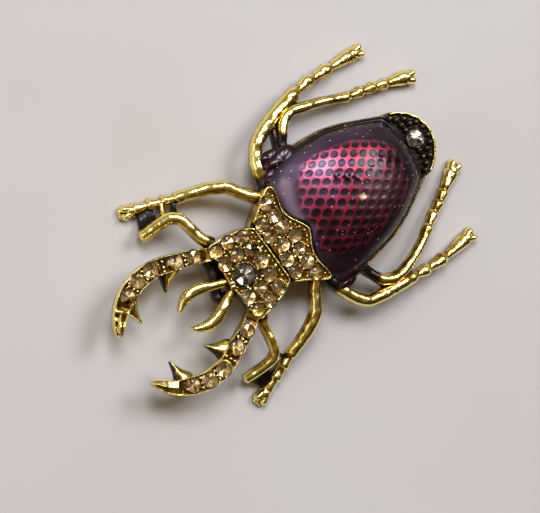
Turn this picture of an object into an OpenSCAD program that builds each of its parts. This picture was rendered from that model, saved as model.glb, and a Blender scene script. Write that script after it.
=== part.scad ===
// Stag beetle brooch: one casting with a hollow back, an enamelled wing-case
// dome, set stones and a pin finding. +Y points to the jaws, +X to the beetle's
// right side and +Z away from the cloth. Millimetres.

/* [Head] */
// Width of the head across its front corners
head_w = 14.2; // [12:0.1:17]
// Length of the head along the body
head_len = 8; // [7:0.1:10]
// Height of the head's top face above the resting surface
head_top = 7.3; // [6.6:0.1:8.4]
// Length of a jaw from the head's front to its tip
jaw_len = 19.4; // [16:0.1:24]
// Reach of a jaw to the side of the beetle's centre line
jaw_reach = 9.8; // [8.6:0.1:12]
// Width of a jaw at its middle
jaw_w = 2.9; // [2.7:0.1:3.6]
// Thickness of a jaw
jaw_h = 2.6; // [2.2:0.1:3.4]
// Length of a feeler
feeler_len = 9; // [7:0.1:11]
// Width of a feeler
feeler_w = 1.6; // [1.2:0.1:2.2]

/* [Body] */
// Width of the pronotum across its rear corners
pronotum_w = 18; // [16:0.1:21]
// Length of the pronotum along the body
pronotum_len = 7.9; // [7:0.1:10]
// Height of the pronotum's top face above the resting surface
pronotum_top = 7.6; // [6.8:0.1:8.8]
// Width of the wing-case cup
cup_w = 23.2; // [20:0.1:27]
// Length of the wing-case cup
cup_len = 21.6; // [19:0.1:26]
// Height of the cup's flange above the resting surface
flange_top = 6; // [5.4:0.1:6.6]
// Width of the flange beside the enamel
flange_w = 1.1; // [0.8:0.1:1.6]
// Length of the tail plate
tail_len = 4.4; // [3.8:0.1:5.4]
// Width of the tail plate
tail_w = 11.8; // [10:0.1:14]
// Height of the body's back face above the resting surface
back_z = 3.6; // [3.2:0.1:4.2]
// Thickness of the casting's walls and plates
wall = 1.4; // [1.2:0.1:1.8]
// Width of the thin raised rims
rim_w = 0.45; // [0.35:0.05:0.7]
// Height of the thin raised rims above the plates
rim_h = 0.3; // [0.2:0.05:0.6]
// Width of the groove between head and pronotum
groove_w = 0.7; // [0.5:0.1:1]

/* [Enamel] */
// Rise of the enamel dome above the flange
dome_rise = 4.6; // [3.6:0.1:5.6]
// Thickness of the enamel
enamel_t = 0.8; // [0.6:0.1:1.2]
// Height of the enamel's upright edge
enamel_edge = 0.3; // [0.2:0.05:0.5]

/* [Legs] */
// Width of a leg
leg_w = 2; // [1.7:0.1:2.5]
// Thickness of a leg
leg_h = 2; // [1.6:0.1:2.4]
// Reach of a front leg from the head to its knee
front_reach = 6.5; // [5.5:0.1:8]
// Length of a front leg along the body
front_len = 7.5; // [6.5:0.1:9]
// Reach of a middle leg from the pronotum to its foot
mid_reach = 10.1; // [9:0.1:12]
// Length of a middle leg along the body
mid_len = 18.5; // [17:0.1:22]
// Reach of an outer hind leg from the cup to its shin
outer_reach = 7.6; // [6.6:0.1:9]
// Length of an outer hind leg along the body
outer_len = 27.4; // [24:0.1:31]
// Reach of an inner hind leg's knee from the cup
inner_reach = 5.4; // [4.6:0.1:6.4]
// Length of an inner hind leg along the body
inner_len = 27; // [24:0.1:30]
// Width across the two claws of a foot
claw_spread = 2.5; // [2.1:0.1:3]
// Length of a claw
claw_len = 1.5; // [1.2:0.1:2]

/* [Stones] */
// Diameter of the small stones on head and pronotum
pave_d = 2; // [1.8:0.05:2.2]
// Metal between two neighbouring small stones
pave_land = 0.35; // [0.3:0.05:0.6]
// Diameter of the largest jaw stone
jaw_stone_d = 2.2; // [1.9:0.05:2.4]
// Diameter of the head stone
head_stone_d = 3.7; // [3.3:0.1:4]
// Diameter of the tail stone
tail_stone_d = 2.6; // [2.2:0.1:2.9]
// Diameter of the raised beads on the tail plate
tail_bead_d = 0.9; // [0.7:0.05:1.1]

/* [Pin] */
// Length of the finding's bar
bar_len = 30; // [28:0.5:34]
// Width of the finding's bar
bar_w = 3; // [2.4:0.1:4]
// Thickness of the finding's bar
bar_t = 0.8; // [0.6:0.1:1]
// Diameter of the pin stem
stem_d = 0.9; // [0.7:0.05:1]
// Clear height between bar and stem for the cloth
cloth_gap = 0.9; // [0.6:0.1:1.1]

/* [Fits] */
// Gap round a set stone and under the enamel
seat_gap = 0.05; // [0.03:0.01:0.1]

/* [Hidden] */

gold = [0.79, 0.62, 0.25];
champagne = [0.62, 0.49, 0.36];
clear_grey = [0.55, 0.53, 0.55];
purple = [0.45, 0.12, 0.28];
steel = [0.70, 0.68, 0.62];
bury = 0.4;
rim_inset = 0.06;
stone_lift = 0.12;
web_lift = 0.34;
web_h = 1.05;
round_fn = 24;
seat_fn = 16;
cut_fn = 8;

// Heights that several pieces share
plate_t = wall + 0.2;
groove_deep = 0.6 * plate_t;
leg_above_flange = 0.3;
leg_root_z = flange_top + leg_above_flange - leg_h;
jaw_below_head = 0.4;
jaw_top = head_top - jaw_below_head;
jaw_z = jaw_top - jaw_h;
tail_above_flange = 0.5;
tail_top = flange_top + tail_above_flange;
enamel_z = flange_top + seat_gap;

// Places along the body before it is centred on the origin
head_y = pronotum_len;
head_front = head_y + head_len;
cup_rear = -cup_len;
jaw_y = head_front - bury;

function flat(lists) = [for (l = lists) each l];
function unit(v) = v / norm(v);
function mix(a, b, t) = a + (b - a) * t;
function mirror_half(half) =
    concat(half, [for (i = [len(half) - 1:-1:0]) if (half[i][0] > 0.001) [-half[i][0], half[i][1]]]);

// Head outline, right half from rear to front: share of half width, share of length
head_half = [
    [0, -0.06], [0.72, -0.06], [0.87, 0.2], [0.95, 0.5], [0.99, 0.74], [1, 0.93], [0.84, 0.99],
    [0.6, 0.92], [0.28, 0.98], [0.13, 1], [0, 1.02]];
// Pronotum outline, right half from front to rear: share of half width, share of length
pronotum_half = [
    [0, 1], [0.6, 1], [0.76, 0.69], [0.91, 0.43], [1, 0.27], [0.94, 0.17], [0.7, 0.16],
    [0.44, 0.22], [0.22, 0.1], [0, 0]];
// Cup outline, right half from front to rear: share of half width, share of length
cup_half = [
    [0, 0.03], [0.22, 0.07], [0.44, 0.11], [0.72, 0.1], [0.85, 0.07], [0.95, 0.01], [1, -0.06],
    [0.985, -0.16], [0.96, -0.27], [0.93, -0.4], [0.89, -0.53], [0.79, -0.68], [0.65, -0.83],
    [0.52, -0.97], [0.3, -1], [0, -1.01]];
// Tail outline, right half from front to rear: share of half width, share of length
tail_half = [
    [0, 0.3], [1.02, 0.16], [1, -0.05], [0.91, -0.3], [0.71, -0.62], [0.45, -0.87], [0.2, -0.98],
    [0, -1.01]];
// Raised beads of the tail's right half: share of half width, share of length
bead_half = [
    [0.34, -0.2], [0.53, -0.18], [0.72, -0.12], [0.86, 0.04], [0.42, -0.47], [0.61, -0.4],
    [0.34, -0.7], [0.13, -0.8]];

function scaled(half, half_w, length, y0) = [for (p = half) [p[0] * half_w, y0 + p[1] * length]];
head_line = mirror_half(scaled(head_half, head_w / 2, head_len, head_y));
pronotum_line = mirror_half(scaled(pronotum_half, pronotum_w / 2, pronotum_len, 0));
cup_line = mirror_half(scaled(cup_half, cup_w / 2, cup_len, 0));
tail_line = mirror_half(scaled(tail_half, tail_w / 2, tail_len, cup_rear));

// Enamel outline, right half from rear to front: share of half width inside the flange, of length
enamel_half = [
    [0, -0.98], [0.2, -0.975], [0.46, -0.94], [0.53, -0.91], [0.65, -0.8], [0.79, -0.67],
    [0.89, -0.53], [0.935, -0.41], [0.965, -0.29], [0.99, -0.18], [1, -0.08], [0.96, -0.01],
    [0.86, 0.02], [0.7, 0.035], [0.44, 0.045], [0.22, 0.015], [0, -0.03]];
enamel_line = mirror_half(scaled(enamel_half, cup_w / 2 - flange_w, cup_len, 0));
dome_mid = [0, -0.44 * cup_len];
dome_rings = [1, 0.97, 0.9, 0.79, 0.63, 0.44, 0.22];

// Height of the dome at a share of the way from its middle to its edge
function dome_height(s) = pow(1 - pow(s, 2.2), 0.6);
// Egg-shaped plan that the dome takes towards its middle: reach from the middle at an angle
function egg(a) = let (w = (0.44 + 0.05 * sin(a)) * cup_w, l = (0.492 - 0.038 * sin(a)) * cup_len)
    w * l / norm([l * cos(a), w * sin(a)]);
// One ring of the dome, pulled in from the enamel's edge by an inset
function dome_ring(s, inset, z0, rise) =
    [for (p = enamel_line)
        let (q = p - dome_mid, r = norm(q), a = atan2(q[1], q[0]), full = mix(egg(a), r, pow(s, 8)),
            k = s * (full - inset) / r)
        [dome_mid[0] + q[0] * k, dome_mid[1] + q[1] * k, z0 + rise * dome_height(s)]];
function band(a, b, n) = [for (j = [0:n - 1]) [a + j, b + j, b + (j + 1) % n, a + (j + 1) % n]];
function fan(a, top, n) = [for (j = [0:n - 1]) [a + j, top, a + (j + 1) % n]];
function turned(faces) = [for (f = faces) [for (i = [len(f) - 1:-1:0]) f[i]]];

// Solid dome standing on the flat z0, with an upright edge
module dome_solid(inset, z0, edge, rise) {
    n = len(enamel_line);
    m = len(dome_rings);
    foot = dome_ring(1, inset, z0, 0);
    rings = flat([for (s = dome_rings) dome_ring(s, inset, z0 + edge, rise)]);
    top = [[dome_mid[0], dome_mid[1], z0 + edge + rise]];
    polyhedron(
        points = concat(foot, rings, top),
        faces = concat(
            [[for (j = [0:n - 1]) j]],
            flat([for (i = [0:m - 1]) band(i * n, (i + 1) * n, n)]),
            fan(m * n, (m + 1) * n, n)));
}

// Enamel shell of even thickness as one closed skin
module dome_shell(z0, edge, rise, t) {
    n = len(enamel_line);
    m = len(dome_rings);
    outer = concat(
        dome_ring(1, 0, z0, 0),
        flat([for (s = dome_rings) dome_ring(s, 0, z0 + edge, rise)]),
        [[dome_mid[0], dome_mid[1], z0 + edge + rise]]);
    inner = concat(
        dome_ring(1, t, z0, 0),
        flat([for (s = dome_rings) dome_ring(s, t, z0 + edge - 0.2 * t, rise - 0.8 * t)]),
        [[dome_mid[0], dome_mid[1], z0 + edge + rise - t]]);
    k = len(outer);
    skin = concat(flat([for (i = [0:m - 1]) band(i * n, (i + 1) * n, n)]), fan(m * n, (m + 1) * n, n));
    polyhedron(
        points = concat(outer, inner),
        faces = concat(
            skin,
            turned([for (f = skin) [for (v = f) v + k]]),
            turned(band(0, k, n))));
}

// Leg section, from the right foot over the ridge to the left: share of half width, share of height
leg_section = [[-1, 0], [-1, 0.35], [-0.4, 1], [0.4, 1], [1, 0.35], [1, 0]];
// Jaw section with a broad flat top for the stones
jaw_section = [[-0.8, 0], [-1, 0.45], [-0.86, 1], [0.86, 1], [1, 0.45], [0.8, 0]];

function ahead(rows, i) =
    let (a = rows[max(i - 1, 0)], b = rows[min(i + 1, len(rows) - 1)]) unit([b[0] - a[0], b[1] - a[1]]);
function limb_ring(rows, i, section) =
    let (r = rows[i], t = ahead(rows, i))
    [for (c = section)
        [r[0] - t[1] * c[0] * r[3] / 2, r[1] + t[0] * c[0] * r[3] / 2, r[2] + c[1] * r[4]]];

// Limb lofted along rows of x, y, underside z, width and height
module limb(rows, section) {
    n = len(section);
    m = len(rows);
    polyhedron(
        points = flat([for (i = [0:m - 1]) limb_ring(rows, i, section)]),
        faces = concat(
            [[for (j = [n - 1:-1:0]) j]],
            flat([for (i = [0:m - 2]) turned(band(i * n, (i + 1) * n, n))]),
            [[for (j = [0:n - 1]) (m - 1) * n + j]]));
}

// Front leg: share of reach, share of length, share of drop, share of width
front_rows = [
    [-0.12, -0.1, 0, 1], [0.12, 0.02, 0.02, 0.95], [0.5, 0.07, 0.08, 0.9], [0.83, 0.12, 0.16, 0.95],
    [0.98, 0.28, 0.34, 1], [1, 0.58, 0.66, 0.98], [0.99, 0.88, 0.95, 0.9], [0.98, 0.97, 1, 0.62]];
// Middle leg: share of reach, share of length, share of drop, share of width
mid_rows = [
    [-0.1, -0.06, 0, 1.1], [0.04, 0.02, 0.02, 1], [0.22, 0.09, 0.06, 0.95], [0.39, 0.14, 0.1, 1.02],
    [0.54, 0.28, 0.26, 1.05], [0.64, 0.43, 0.44, 1], [0.7, 0.53, 0.58, 0.92], [0.715, 0.55, 0.6, 0.72],
    [0.78, 0.63, 0.71, 0.95], [0.79, 0.65, 0.73, 0.74], [0.86, 0.74, 0.84, 1], [0.87, 0.76, 0.86, 0.8],
    [0.93, 0.85, 0.96, 1.05], [0.96, 0.9, 1, 1.15]];
// Outer hind legs: share of reach, share of length, share of drop, share of width
outer_right_rows = [
    [-0.4, -0.02, 0, 1.1], [0.26, 0.03, 0.03, 1], [0.57, 0.1, 0.06, 0.98], [0.72, 0.205, 0.12, 1.02],
    [0.82, 0.335, 0.26, 1.05], [0.88, 0.47, 0.42, 1.02], [0.89, 0.52, 0.47, 0.72],
    [0.9, 0.595, 0.56, 1], [0.87, 0.64, 0.61, 0.72], [0.84, 0.726, 0.7, 1.05], [0.82, 0.77, 0.75, 0.74],
    [0.76, 0.885, 0.92, 1.05], [0.72, 0.95, 1, 1.2]];
outer_left_rows = [
    [-0.3, -0.03, 0, 1.1], [0.1, 0, 0.02, 1], [0.49, 0.044, 0.04, 1], [0.75, 0.1, 0.07, 0.98],
    [0.86, 0.22, 0.14, 1.02], [0.93, 0.34, 0.27, 1.05], [0.99, 0.42, 0.38, 1.02], [1.01, 0.455, 0.43, 0.72],
    [1.07, 0.52, 0.52, 1], [1.09, 0.55, 0.56, 0.72], [1.13, 0.645, 0.67, 1.05], [1.145, 0.68, 0.71, 0.74],
    [1.15, 0.8, 0.9, 1.05], [1.15, 0.865, 1, 1.2]];
// Inner hind legs: share of reach, share of length, share of drop, share of width
inner_right_rows = [
    [-0.22, -0.03, 0, 1.1], [0.04, 0.01, 0.02, 1], [0.31, 0.05, 0.06, 0.95], [0.59, 0.095, 0.1, 0.95],
    [0.79, 0.15, 0.15, 1], [0.82, 0.215, 0.22, 1], [0.67, 0.29, 0.3, 1], [0.46, 0.4, 0.42, 0.95],
    [0.2, 0.51, 0.54, 0.86], [0.07, 0.56, 0.6, 0.9], [0.04, 0.58, 0.62, 0.66], [-0.06, 0.65, 0.69, 0.92],
    [-0.09, 0.67, 0.71, 0.68], [-0.2, 0.735, 0.77, 0.95], [-0.24, 0.755, 0.79, 0.7],
    [-0.35, 0.81, 0.84, 0.95], [-0.39, 0.83, 0.86, 0.72], [-0.54, 0.92, 0.93, 1.1],
    [-0.63, 0.955, 0.95, 1.2]];
inner_left_rows = [
    [-0.28, -0.02, 0, 1.1], [0.13, 0.007, 0.02, 1], [0.44, 0.03, 0.06, 0.95], [0.75, 0.063, 0.1, 1],
    [0.93, 0.126, 0.16, 1], [0.96, 0.2, 0.22, 1], [0.89, 0.265, 0.29, 1], [0.8, 0.34, 0.37, 0.95],
    [0.63, 0.43, 0.47, 0.9], [0.44, 0.505, 0.56, 0.9], [0.39, 0.522, 0.58, 0.66], [0.24, 0.585, 0.66, 0.92],
    [0.19, 0.604, 0.68, 0.68], [0.09, 0.655, 0.73, 0.92], [0.055, 0.674, 0.75, 0.7],
    [-0.055, 0.72, 0.8, 0.95], [-0.11, 0.737, 0.82, 0.72], [-0.3, 0.82, 0.92, 1.1],
    [-0.4, 0.86, 0.95, 1.2]];
// Jaw: share of reach, share of length, share of width
jaw_rows = [
    [0.5, -0.1, 0.8], [0.62, 0.02, 0.74], [0.73, 0.12, 0.82], [0.85, 0.27, 0.96], [0.96, 0.4, 0.94],
    [1, 0.54, 1], [0.96, 0.67, 1.04], [0.86, 0.79, 0.94], [0.71, 0.89, 0.72], [0.55, 0.96, 0.46],
    [0.42, 0.995, 0.2]];
// First and second jaw tooth: share of reach, share of length, share of width
tooth_rows = [
    [[0.88, 0.33, 0.95], [0.76, 0.36, 0.8], [0.64, 0.41, 0.4], [0.54, 0.45, 0.12]],
    [[0.84, 0.765, 0.95], [0.68, 0.768, 0.78], [0.52, 0.77, 0.4], [0.38, 0.768, 0.12]]];
// Feeler: side offset and place along it as shares of its length, share of width, share of lift
feeler_rows = [
    [0.04, -0.12, 0.9, 0], [0.13, 0.1, 0.95, 0], [0.24, 0.33, 1, 0.1], [0.32, 0.52, 1.05, 0.1],
    [0.33, 0.7, 1, 0], [0.27, 0.86, 0.75, -0.1], [0.17, 1, 0.24, -0.3]];
feeler_h = 0.9 * feeler_w;
feeler_z = head_top - feeler_h - jaw_below_head / 2;

// Rows of a leg in millimetres from its shares; along is +1 towards the jaws and -1 towards the tail
function leg_rows(rows, side, root, reach, length, along) =
    [for (r = rows)
        [side * (root[0] + reach * r[0]), root[1] + along * length * r[1], leg_root_z * (1 - r[2]),
            leg_w * r[3], leg_h]];
front_root = [0.535 * head_w, head_front - 0.15 * head_len];
mid_root = [0.472 * pronotum_w, pronotum_len / 2];
outer_root = [0.457 * cup_w, 0.06 * cup_len];
inner_root = [0.478 * cup_w, -0.175 * cup_len];
front_foot_drop = 0.55;

function front_leg(side) =
    [for (r = leg_rows(front_rows, side, front_root, front_reach, front_len, 1))
        [r[0], r[1], leg_root_z - front_foot_drop * (leg_root_z - r[2]), r[3], r[4]]];
function mid_leg(side) = leg_rows(mid_rows, side, mid_root, mid_reach, mid_len, 1);
function outer_leg(side) =
    leg_rows(side > 0 ? outer_right_rows : outer_left_rows, side, outer_root, outer_reach, outer_len, -1);
function inner_leg(side) =
    leg_rows(side > 0 ? inner_right_rows : inner_left_rows, side, inner_root, inner_reach, inner_len, -1);
function jaw_path(side, rows) =
    [for (r = rows) [side * jaw_reach * r[0], jaw_y + jaw_len * r[1], jaw_z, jaw_w * r[2], jaw_h]];
function tooth_path(side, rows) =
    [for (i = [0:len(rows) - 1]) let (r = rows[i])
        [side * jaw_reach * r[0], jaw_y + jaw_len * r[1], jaw_z + 0.1, jaw_w * r[2],
            jaw_h * (0.86 - 0.14 * i)]];
function feeler_path(side) =
    [for (r = feeler_rows)
        [side * feeler_len * r[0], jaw_y + bury + feeler_len * r[1], feeler_z + feeler_h * r[3],
            feeler_w * r[2], feeler_h]];

// The part is centred between its jaw tips and its rearmost claws
front_end = jaw_y + jaw_len;
rear_end = inner_root[1] - 0.955 * inner_len - claw_len - 0.2 * leg_w;
mid_y = (front_end + rear_end) / 2;

// Cut stone with its girdle at z = 0: table, crown, girdle and pavilion
module cut_stone(d, fn) {
    girdle = 0.04 * d;
    hull() {
        cylinder(h = girdle, r = d / 2, $fn = fn);
        translate([0, 0, girdle]) cylinder(h = 0.15 * d, r1 = d / 2, r2 = 0.29 * d, $fn = fn);
        translate([0, 0, -0.4 * d]) cylinder(h = 0.4 * d, r1 = 0.03 * d, r2 = d / 2, $fn = fn);
    }
}
// Hole that a stone sits in: a ledge cone under the girdle and a straight wall above it
module seat(d) {
    r = d / 2 + seat_gap;
    deep = 0.4 * d + seat_gap;
    rotate_extrude($fn = seat_fn)
        polygon([[0, -deep], [0.05 * d, -deep], [r, -seat_gap], [r, d], [0, d]]);
}

// Places of the small stones: rows across the head beside its large stone
pave_pitch = pave_d + pave_land;
row_pitch = 1.04 * pave_pitch;
head_stone_at = [0, head_y + 0.64 * head_len];
head_side_x = head_stone_d / 2 + pave_land + pave_d / 2;
head_rear_row = head_y + rim_w + 0.25 + pave_d / 2;
function head_half_w(y) =
    lookup((y - head_y) / head_len, [for (p = head_half) if (p[0] > 0.7) [p[1], p[0] * head_w / 2]]);
function pronotum_half_w(y) =
    lookup(y / pronotum_len,
        [for (i = [4:-1:1]) [pronotum_half[i][1], pronotum_half[i][0] * pronotum_w / 2]]);
head_row_count = floor((head_front - 0.3 - pave_d / 2 - head_rear_row) / row_pitch);
head_places = concat(
    [for (k = [-2:2]) let (x = k * pave_pitch * 1.05)
        if (abs(x) + pave_d / 2 < head_half_w(head_rear_row) - 0.05) [x, head_rear_row + 0.12 * abs(k)]],
    flat([for (i = [1:head_row_count]) let (y = head_rear_row + 0.15 + i * row_pitch)
        flat([for (k = [0:3]) let (x = head_side_x + k * pave_pitch * 1.08)
            if (x + pave_d / 2 < head_half_w(y) + 0.05) [[x, y], [-x, y]]])]));
pronotum_front_row = pronotum_len - groove_w - 0.05 - pave_d / 2;
pronotum_row_count = floor((pronotum_front_row - pave_d / 2 - 0.24 * pronotum_len) / (row_pitch * 1.04));
pronotum_places =
    flat([for (i = [0:pronotum_row_count]) let (y = pronotum_front_row - i * row_pitch * 1.04)
        [for (k = [-4:4]) let (x = k * pave_pitch * 0.97)
            if (abs(x) + pave_d / 2 < pronotum_half_w(y) + 0.05)
                [x, k == 0 ? y - 0.11 * pronotum_len : y]]]);

// Jaw stones: share of reach, share of length, share of the largest diameter
jaw_stone_rows = [
    [0.74, 0.125, 0.9], [0.84, 0.275, 1], [0.995, 0.47, 0.98], [0.99, 0.61, 1], [0.88, 0.745, 0.94]];
function jaw_stone_at(side, k) =
    let (r = jaw_stone_rows[k]) [side * jaw_reach * r[0], jaw_y + jaw_len * r[1]];
function jaw_stone_size(k) = jaw_stone_d * jaw_stone_rows[k][2];
tail_stone_at = [0, cup_rear - 0.34 * tail_len];

// Plate with a hollow back: its outline, top and underside
module plate(line, top) {
    translate([0, 0, back_z]) linear_extrude(top - back_z) polygon(line);
}
module plate_hollow(line, top) {
    translate([0, 0, back_z - 1])
        linear_extrude(top - plate_t - back_z + 1) offset(delta = -wall) polygon(line);
}
module plate_rim(line, top) {
    translate([0, 0, top - bury])
        linear_extrude(bury + rim_h)
            difference() {
                polygon(line);
                offset(delta = -rim_w) polygon(line);
            }
}

// Claws at the end of a leg: two prongs from the last row, joined by a toe where the foot is closed
module prong(p, tall, r0, r1) {
    translate(p) cylinder(h = tall, r1 = r0, r2 = r1, $fn = seat_fn);
}
module claws(rows, length, closed) {
    last = rows[len(rows) - 1];
    t = ahead(rows, len(rows) - 1);
    n = [-t[1], t[0]];
    half = claw_spread / 2 - 0.2 * leg_w;
    heel = [last[0] - t[0] * 0.18 * leg_w, last[1] - t[1] * 0.18 * leg_w, last[2]];
    tips = [for (k = [-1, 1])
        [last[0] + t[0] * length + k * n[0] * half, last[1] + t[1] * length + k * n[1] * half, last[2]]];
    for (tip = tips)
        hull() {
            prong(heel, 0.7 * leg_h, 0.3 * leg_w, 0.28 * leg_w);
            prong(tip, 0.6 * leg_h, 0.22 * leg_w, 0.15 * leg_w);
        }
    if (closed)
        hull()
            for (tip = tips) prong(tip, 0.5 * leg_h, 0.18 * leg_w, 0.14 * leg_w);
}

// Web of thin metal between two rows of one limb and two rows of its neighbour
module web(corners) {
    hull()
        for (r = corners) prong([r[0], r[1], r[2] + web_lift], web_h, 0.1 * leg_w, 0.1 * leg_w);
}

module legs(side) {
    front = front_leg(side);
    mid = mid_leg(side);
    outer = outer_leg(side);
    inner = inner_leg(side);
    limb(front, leg_section);
    limb(mid, leg_section);
    limb(outer, leg_section);
    limb(inner, leg_section);
    claws(mid, claw_len, true);
    claws(outer, claw_len, false);
    claws(inner, claw_len, false);
    web([front[3], front[6], mid[10], mid[6]]);
    web([outer[4], outer[5], inner[6], inner[5]]);
}

module jaw(side) {
    limb(jaw_path(side, jaw_rows), jaw_section);
    for (rows = tooth_rows) limb(tooth_path(side, rows), leg_section);
    limb(feeler_path(side), leg_section);
}

module body_plates() {
    plate(head_line, head_top);
    plate_rim(head_line, head_top);
    plate(pronotum_line, pronotum_top);
    front_rim();
    plate(cup_line, flange_top);
    plate(tail_line, tail_top);
    plate_rim(tail_line, tail_top);
    for (side = [-1, 1], b = bead_half)
        translate([side * b[0] * tail_w / 2, cup_rear + b[1] * tail_len, tail_top])
            sphere(d = tail_bead_d, $fn = cut_fn);
}

// Thin raised rim in front of the enamel, just inside the rear edge of the pronotum
module front_rim() {
    translate([0, 0, flange_top - bury])
        linear_extrude(pronotum_top + rim_h - flange_top + bury)
            difference() {
                offset(delta = -rim_inset) polygon(pronotum_line);
                translate([0, rim_w]) offset(delta = -rim_inset) polygon(pronotum_line);
            }
}

module hollows() {
    plate_hollow(head_line, head_top);
    plate_hollow(pronotum_line, pronotum_top);
    dome_solid(enamel_t + wall, back_z - 1, flange_top - back_z, dome_rise - enamel_t - 0.4);
    translate([0, head_y - 0.4 * groove_w, (head_top + pronotum_top) / 2])
        cube([head_w, groove_w, 2 * groove_deep], center = true);
}

// Place of the enamel on the flange, and the domed core that carries it from below
module enamel_place() {
    translate([0, 0, flange_top])
        linear_extrude(pronotum_top) offset(delta = 2 * seat_gap) polygon(enamel_line);
}
module enamel_core() {
    dome_solid(enamel_t + seat_gap, flange_top - bury, bury + enamel_edge - 0.2 * enamel_t,
        dome_rise - 0.8 * enamel_t - seat_gap);
}

module seats() {
    for (p = head_places) translate([p[0], p[1], head_top + stone_lift]) seat(pave_d);
    for (p = pronotum_places) translate([p[0], p[1], pronotum_top + stone_lift]) seat(pave_d);
    translate([head_stone_at[0], head_stone_at[1], head_top + stone_lift]) seat(head_stone_d);
    translate([tail_stone_at[0], tail_stone_at[1], tail_top + stone_lift]) seat(tail_stone_d);
    for (side = [-1, 1], k = [0:4]) {
        p = jaw_stone_at(side, k);
        translate([p[0], p[1], jaw_top + stone_lift]) seat(jaw_stone_size(k));
    }
}

module casting() {
    color(gold)
        difference() {
            union() {
                difference() {
                    union() {
                        body_plates();
                        for (side = [-1, 1]) {
                            legs(side);
                            jaw(side);
                        }
                    }
                    enamel_place();
                }
                enamel_core();
            }
            hollows();
            seats();
            translate([0, 0, -cup_w]) cube([4 * cup_w, 4 * cup_len, 2 * cup_w], center = true);
        }
}

module enamel_dome() {
    color(purple) dome_shell(enamel_z, enamel_edge, dome_rise, enamel_t);
}
module head_stone() {
    color(clear_grey)
        translate([head_stone_at[0], head_stone_at[1], head_top + stone_lift]) cut_stone(head_stone_d, 12);
}
module tail_stone() {
    color(clear_grey)
        translate([tail_stone_at[0], tail_stone_at[1], tail_top + stone_lift]) cut_stone(tail_stone_d, 12);
}
module head_pave() {
    color(champagne)
        for (p = head_places) translate([p[0], p[1], head_top + stone_lift]) cut_stone(pave_d, cut_fn);
}
module pronotum_pave() {
    color(champagne)
        for (p = pronotum_places)
            translate([p[0], p[1], pronotum_top + stone_lift]) cut_stone(pave_d, cut_fn);
}
module jaw_stone(side, k) {
    p = jaw_stone_at(side, k);
    color(champagne) translate([p[0], p[1], jaw_top + stone_lift]) cut_stone(jaw_stone_size(k), cut_fn);
}

// Pin finding on the back: bar, hinge block, stem and catch in one piece, its stem ending past the catch
bar_top = back_z - seat_gap;
bar_y0 = head_y + groove_w - bar_len;
stem_out = 0.4;
stem_z = bar_top - bar_t - cloth_gap - stem_d / 2;
block_h = bar_top - bar_t - stem_z + stem_d / 2 + 0.25;
module brooch_pin() {
    block_z = bar_top - bar_t - block_h;
    color(steel) {
        translate([-bar_w / 2, bar_y0, bar_top - bar_t]) cube([bar_w, bar_len, bar_t]);
        translate([-bar_w / 2, bar_y0 + bar_len - bar_w, block_z]) cube([bar_w, bar_w, block_h]);
        translate([-0.4 * bar_w, bar_y0 + 0.5, block_z]) cube([0.8 * bar_w, 0.7 * bar_w, block_h]);
        translate([0, bar_y0 - stem_out, stem_z])
            rotate([-90, 0, 0]) cylinder(h = bar_len - bar_w / 2, d = stem_d, $fn = round_fn);
    }
}

module placed() {
    translate([0, -mid_y, 0]) children();
}

placed() casting();
placed() enamel_dome();
placed() head_stone();
placed() tail_stone();
placed() head_pave();
placed() pronotum_pave();
placed() brooch_pin();
for (s = [[1, "right"], [-1, "left"]], k = [1:5])
    placed() jaw_stone(s[0], k - 1);
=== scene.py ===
"""Looks of the stag beetle brooch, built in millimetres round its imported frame.

The casting, the enamel and every stone are surfaces worked out with numpy from
the sizes that the frame's solids have. +Y points to the jaws, +X to the
beetle's right side and +Z away from the cloth.
"""

import logging
from dataclasses import dataclass, field
from enum import Enum
from functools import partial
from typing import Any, Callable, Sequence

import bpy
import numpy as np
from mathutils import Matrix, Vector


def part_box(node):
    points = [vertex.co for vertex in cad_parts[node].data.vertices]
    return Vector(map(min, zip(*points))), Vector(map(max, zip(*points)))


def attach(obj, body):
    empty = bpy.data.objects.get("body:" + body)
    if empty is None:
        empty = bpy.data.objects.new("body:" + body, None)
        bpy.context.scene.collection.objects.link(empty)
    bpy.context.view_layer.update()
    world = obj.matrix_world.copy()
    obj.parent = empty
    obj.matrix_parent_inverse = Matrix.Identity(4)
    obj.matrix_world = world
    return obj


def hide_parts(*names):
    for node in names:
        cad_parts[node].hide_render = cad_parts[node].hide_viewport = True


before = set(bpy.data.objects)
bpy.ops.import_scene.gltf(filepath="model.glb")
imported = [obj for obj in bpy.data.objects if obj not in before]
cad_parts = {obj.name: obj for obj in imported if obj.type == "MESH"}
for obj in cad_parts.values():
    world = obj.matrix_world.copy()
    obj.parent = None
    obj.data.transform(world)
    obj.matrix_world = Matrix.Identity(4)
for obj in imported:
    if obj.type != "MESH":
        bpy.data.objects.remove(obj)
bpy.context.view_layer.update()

LOG = logging.getLogger("brooch")
MM = 0.001
ROOT = "root"
SIDES = ((1, "right"), (-1, "left"))
JAW_STONES = range(1, 6)
# farther off than any part of the brooch, in millimetres
FAR_OFF = 99.0
Array = np.ndarray
# rows of shares of a size
Shares = tuple[tuple[float, ...], ...]
# places and hex colours of a ramp
Stops = tuple[tuple[float, str], ...]
# lift and polish of a plate's top, from x and y and the way in from its outline
Relief = Callable[[Array, Array], tuple[Array, Array]]
# add_node with its tree filled in
Add = Callable[..., bpy.types.Node]


# Shapes


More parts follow.
